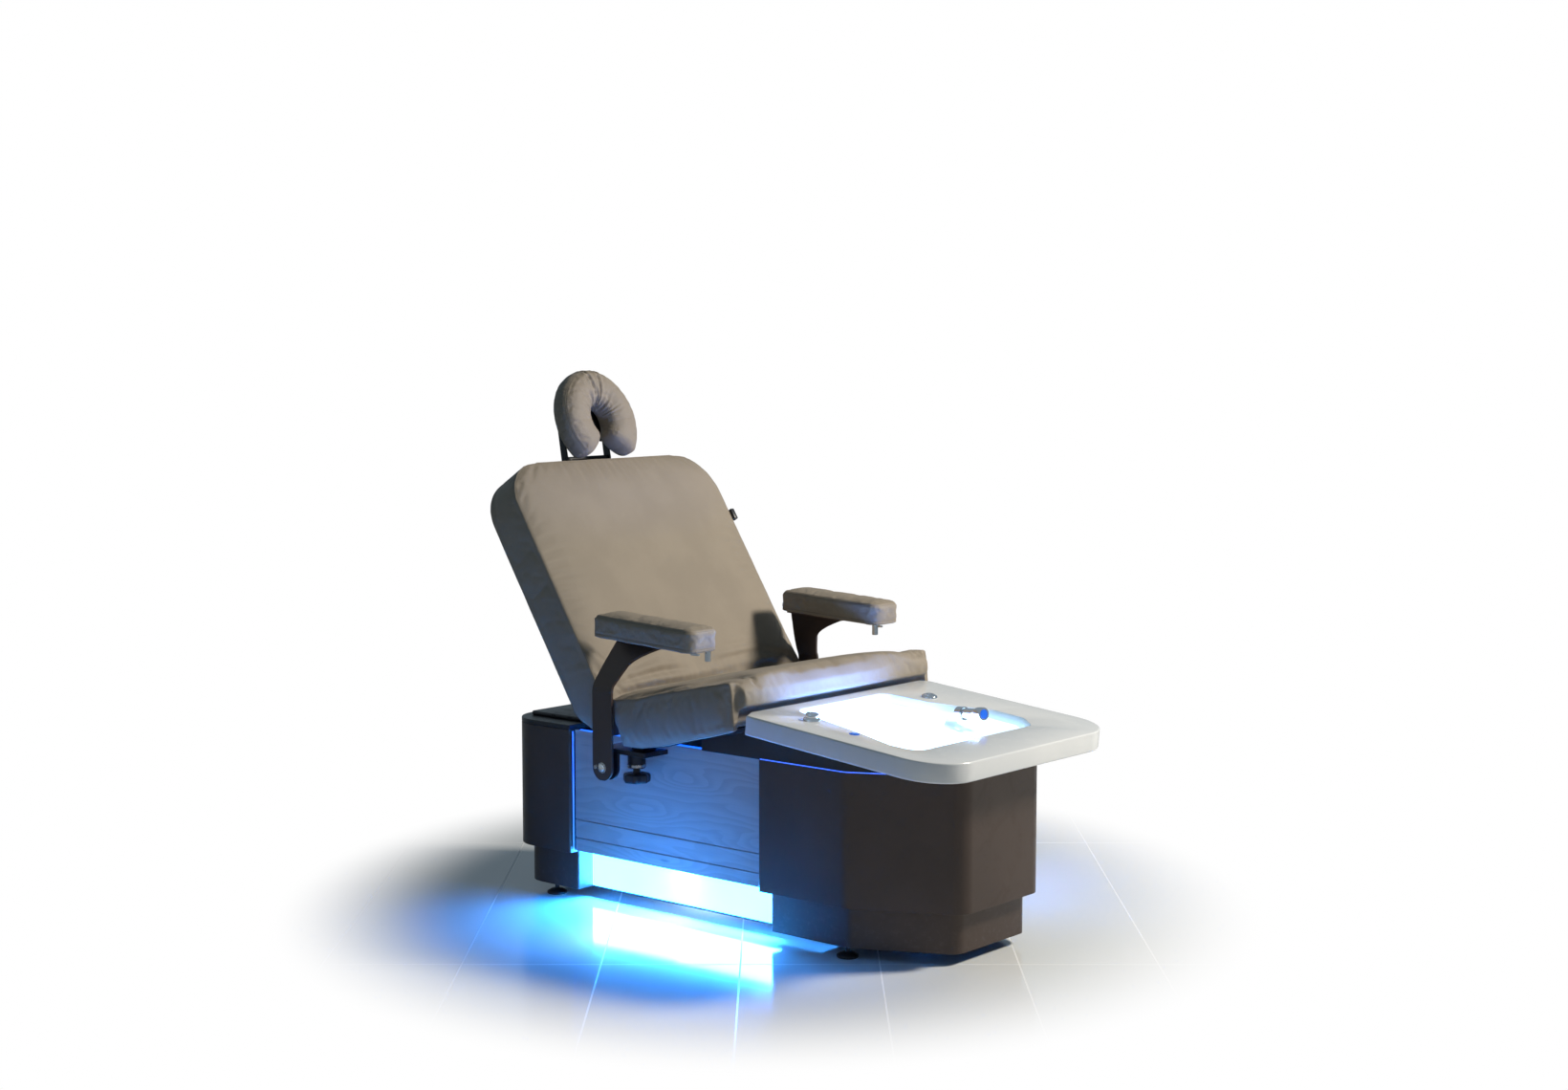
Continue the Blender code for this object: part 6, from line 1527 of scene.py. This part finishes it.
# ---------------------------------------------------------------- armrest and head steelwork
def make_arm_steelwork():
    """Brackets, mounts, bolts, star knobs, sockets and thumb screws."""
    plate = SEAT_HALF_WIDTH + ARM_CLEARANCE
    clamp_y = plate - CLAMP_SETBACK
    outside = plate + ARM_PLATE + 0.0002
    lock = ((0.0064, 0.0), (0.0064, 0.0012), (0.0050, 0.0034), (0.0026, 0.0036), (0.0024, 0.0022),
            (0.001, 0.0022))
    washer = ((0.0114, 0.0), (0.0150, 0.0), (0.0150, 0.0008), (0.0144, 0.0012), (0.0114, 0.0012))
    ring = ((0.0252, 0.4370), (0.0264, 0.4378), (0.0264, 0.4450), (0.0252, 0.4458))
    knob = ((0.0330, 0.394), (0.0372, 0.3952), (0.0396, 0.399), (0.0400, 0.404), (0.0400, 0.412),
            (0.0388, 0.4166), (0.0350, 0.4190), (0.0200, 0.4198), (0.0110, 0.4204), (0.0100, 0.4220),
            (0.0100, 0.4347))
    knob = [(radius * (0.9 if radius > 0.012 else 1.0), height) for radius, height in knob]
    start = plate - BOLT_INSIDE
    reach = outside + 0.0001 - start
    bolt = ((0.006, 0.0), (0.006, reach), (0.0112, reach), (0.0112, reach + 0.0032), (0.0104, reach + 0.0046),
            (0.0080, reach + 0.0060), (0.0048, reach + 0.0064), (0.0046, reach + 0.0040),
            (0.0010, reach + 0.0038))
    up = (0.0, 0.0, 1.0)
    for side_name, side in SIDES:
        out = (0.0, side, 0.0)
        clamp = (CLAMP_X, side * clamp_y, 0.0)
        bracket = BODY_OF["arm_bracket_" + side_name]
        refined("arm_bracket_" + side_name, smooth=28.0, bevel=0.0009)
        refined("arm_mount_" + side_name, smooth=28.0, bevel=0.0009)
        piece("clamp_ring_" + side_name, turned(ring, clamp, up, ring_loop=True), "zinc_screw",
              BODY_OF["arm_mount_" + side_name])
        lathe("pivot_bolt_" + side_name, bolt, (ARM_PIVOT_X, side * start, ARM_PIVOT_Z), out)
        face = (ARM_PIVOT_X, side * outside, ARM_PIVOT_Z)
        piece("bolt_washer_" + side_name, turned(washer, face, out, ring_loop=True), "zinc_screw", bracket)
        face = (LOCK_SCREW_X, side * outside, ARM_PIVOT_Z)
        piece("lock_screw_" + side_name, turned(lock, face, out), "zinc_screw", bracket)
        lathe("star_knob_" + side_name, knob, clamp, up, count=112, waves=7, depth=0.075)
        refined("tray_socket_" + side_name, bevel=0.0004)
        refined("thumb_screw_" + side_name, bevel=0.0008)


def make_head_steelwork():
    """Rods, links and platform of the face cradle."""
    refined("head_frame", bevel=0.0008)
    for side_name, _ in SIDES:
        refined("cradle_link_" + side_name, bevel=0.0008)
    refined("cradle_platform", bevel=0.0010)


# ---------------------------------------------------------------- stage
CAMERA_PLACE = (4.105397, -4.87305, 1.61169)
CAMERA_AZIMUTH = math.radians(40.18)
CAMERA_PITCH = math.radians(5.144)
CAMERA_LENS = 52.84
VIEW_AHEAD = Vector((-0.645, 0.764, 0.0))
VIEW_RIGHT = Vector((0.764, 0.645, 0.0))
TILE_LENGTH = 1.44
FLOOR_HALF = 9.0
POOL_MIDDLE = (0.25, -0.05)      # ahead and right, from the origin
POOL_HALF = (1.70, 1.42)
LAMP_AIM = (0.0, 0.0, 0.7)


def lamp(name, power, colour, place, aim, wide, tall):
    """A soft area lamp."""
    light = bpy.data.lights.new(name, "AREA")
    light.shape = "RECTANGLE"
    light.size, light.size_y = wide, tall
    light.energy = power
    light.color = colour
    item = linked(name, light)
    item.location = place
    item.rotation_euler = (Vector(place) - Vector(aim)).to_track_quat("Z", "Y").to_euler()
    return item


def pool_share(tree, value, middle, half):
    """A distance from the middle of the lit pool, as a share of its half width."""
    return maths(tree, "DIVIDE", maths(tree, "SUBTRACT", value, middle), half)


def floor_material():
    """Polished pale tiles with thin joints, melting into white away from the chair for the camera."""
    chosen = bpy.context.scene.chair_stage
    made, tree, shader, where = blank("floor_tiles")
    across, ahead = along(tree, where, VIEW_RIGHT), along(tree, where, VIEW_AHEAD)

    def joint(value, pitch, offset):
        beat = maths(tree, "FRACT", maths(tree, "DIVIDE", maths(tree, "ADD", value, offset), pitch))
        edge = maths(tree, "ABSOLUTE", maths(tree, "SUBTRACT", beat, 0.5))
        return ramp(tree, edge, 0.5 - 0.0032 / pitch, 0.5 - 0.0012 / pitch)

    lines = maths(tree, "MAXIMUM", joint(across, chosen.plank, 0.12), joint(ahead, TILE_LENGTH, 0.55))
    life = use(tree, surface_life(), {"Vector": where, "Grain": 0.02, "Mottle Size": 0.7})
    tile = blended(tree, life["Mottle"], tinted(tuple(chosen.tile), -0.02), tuple(chosen.tile))
    fed(shader, {"Base Color": blended(tree, lines, tile, (0.88, 0.89, 0.90)),
                 "Roughness": ramp(tree, lines, 0.0, 1.0, 0.10, 0.45), "Specular IOR Level": 0.62})
    away = pool_share(tree, ahead, POOL_MIDDLE[0], POOL_HALF[0])
    aside = pool_share(tree, across, POOL_MIDDLE[1], POOL_HALF[1])
    reach = maths(tree, "SQRT", maths(tree, "ADD", maths(tree, "MULTIPLY", away, away),
                                      maths(tree, "MULTIPLY", aside, aside)))
    seen = add(tree, "LightPath").outputs["Is Camera Ray"]
    glow = maths(tree, "MULTIPLY", ramp(tree, reach, 0.62, 1.00), seen)
    white = add(tree, "Emission", {"Color": (1.0, 1.0, 1.0, 1.0), "Strength": 1.0})
    mixed = add(tree, "MixShader", {0: glow, 1: shader.outputs[0], 2: white.outputs[0]})
    tree.links.new(mixed.outputs[0], tree.nodes["Material Output"].inputs["Surface"])
    return made


def make_floor():
    """The tiled floor."""
    mesh = bpy.data.meshes.new("floor")
    corners = [(-1.0, -1.0), (1.0, -1.0), (1.0, 1.0), (-1.0, 1.0)]
    mesh.from_pydata([(x * FLOOR_HALF, y * FLOOR_HALF, 0.0) for x, y in corners], [], [(0, 1, 2, 3)])
    mesh.materials.append(floor_material())
    floor = linked("floor", mesh)


def make_surroundings():
    """White behind the chair, a paler white in its reflections and dim blue light round it."""
    ambient = bpy.context.scene.chair_stage.ambient
    world = bpy.data.worlds.new("studio")
    world.use_nodes = True
    tree = world.node_tree
    path = add(tree, "LightPath")
    mirror = maths(tree, "MULTIPLY", path.outputs["Is Glossy Ray"], 0.30)
    share = maths(tree, "MAXIMUM", path.outputs["Is Camera Ray"], mirror)
    strength = maths(tree, "ADD", ambient, maths(tree, "MULTIPLY", share, 1.0 - ambient))
    fed(tree.nodes["Background"], {"Color": blended(tree, share, (0.55, 0.80, 1.0), (1.0, 1.0, 1.0)),
                                   "Strength": strength})
    bpy.context.scene.world = world


def make_lamps():
    """Key and fill, and hidden lamps for what the lit bowl and the lit floor throw back."""
    chosen = bpy.context.scene.chair_stage
    lamp("key", chosen.key, (1.0, 0.93, 0.82), (2.80, 2.30, 3.30), LAMP_AIM, 0.75, 0.75)
    lamp("fill", chosen.fill, (0.40, 0.66, 1.0), (0.2, -3.6, 1.5), LAMP_AIM, 2.2, 1.6)
    glint = lamp("bowl_glow", chosen.glint, (0.10, 0.26, 1.0), slab_point(0.230, -0.030, -0.040) + SHIFT,
                 Vector((0.010, -0.020, 0.705)) + SHIFT, 0.40, 0.05)
    glint.data.spread = math.radians(110.0)
    glint.visible_camera = False
    middle = 0.5 * (LED_SPAN[0] + LED_SPAN[1]) + SHIFT.x
    for side_name, side in SIDES:
        under = lamp("under_glow_" + side_name, chosen.under, (0.50, 0.78, 1.0),
                     (middle, side * 0.262, 0.138), (middle, side * 0.270, 0.0), 0.06, 0.66)
        bounce = lamp("bounce_" + side_name, chosen.bounce, (0.0, 0.19, 1.0),
                      (middle, side * 0.400, 0.004), (middle, side * 0.330, 0.300), 0.20, 0.74)
        ahead = lamp("front_glow_" + side_name, chosen.bounce * 0.07, (0.02, 0.28, 1.0),
                     Vector((0.250, side * 0.420, 0.250)) + SHIFT,
                     Vector((0.420, side * 0.700, 0.0)) + SHIFT, 0.50, 0.10)
        for item in (under, bounce, ahead):
            item.visible_camera = item.visible_glossy = False


def make_camera():
    """The camera of the photograph."""
    camera = bpy.data.cameras.new("camera")
    camera.lens = CAMERA_LENS
    camera.sensor_width = 36.0
    camera.clip_end = 60.0
    item = linked("camera", camera)
    item.location = CAMERA_PLACE
    toward = Vector((math.sin(CAMERA_AZIMUTH) * math.cos(CAMERA_PITCH),
                     -math.cos(CAMERA_AZIMUTH) * math.cos(CAMERA_PITCH), math.sin(CAMERA_PITCH)))
    item.rotation_euler = (-toward).to_track_quat("-Z", "Y").to_euler()
    bpy.context.scene.camera = item
    bpy.context.scene.view_settings.view_transform = "Standard"


def make_stage():
    """Floor, surroundings, lamps and camera."""
    make_floor()
    make_surroundings()
    make_lamps()
    make_camera()


# ---------------------------------------------------------------- operators, panel and start
STEPS = (make_seat_cushion, make_back_cushion, make_armrest_pads, make_face_cradle, make_pedestals,
         make_side_panels, make_light_band, make_covers, make_basin, make_basin_fittings, make_arm_steelwork,
         make_head_steelwork, make_boards, make_chassis, make_stage)


def step_name(action):
    """Name of a step, such as basin_fittings."""
    return action.__name__.removeprefix("make_")


def step_operator(action):
    """An operator that makes one group of pieces."""
    def execute(self, context):
        action()
        return {"FINISHED"}
    name = step_name(action)
    return type("CHAIR_OT_" + name, (bpy.types.Operator,),
                {"bl_idname": "chair." + name, "bl_label": name.replace("_", " ").title(),
                 "bl_options": {"REGISTER", "UNDO"}, "__doc__": action.__doc__, "execute": execute})


class CHAIR_PT_looks(bpy.types.Panel):
    """Settings and steps of the chair's looks."""
    bl_label = "Pedicure Chair"
    bl_space_type = "VIEW_3D"
    bl_region_type = "UI"
    bl_category = "Pedicure Chair"

    def draw(self, context):
        for name, group in SETTINGS:
            column = self.layout.box().column()
            column.label(text=group.__doc__)
            for key in group.__annotations__:
                column.prop(getattr(context.scene, name), key)
        column = self.layout.column(align=True)
        for action in STEPS:
            column.operator("chair." + step_name(action))


CLASSES = [group for _, group in SETTINGS] + [step_operator(action) for action in STEPS] + [CHAIR_PT_looks]


def register():
    """Add the settings, the operators and the panel to Blender."""
    for item in CLASSES:
        bpy.utils.register_class(item)
    for name, group in SETTINGS:
        setattr(bpy.types.Scene, name, bpy.props.PointerProperty(type=group))


def unregister():
    """Take them out again."""
    for name, _ in SETTINGS:
        delattr(bpy.types.Scene, name)
    for item in reversed(CLASSES):
        bpy.utils.unregister_class(item)


def main():
    """Make every piece, then the stage, and note the size before and after."""
    register()
    for action in STEPS:
        getattr(bpy.ops.chair, step_name(action))()


if __name__ == "__main__":
    main()
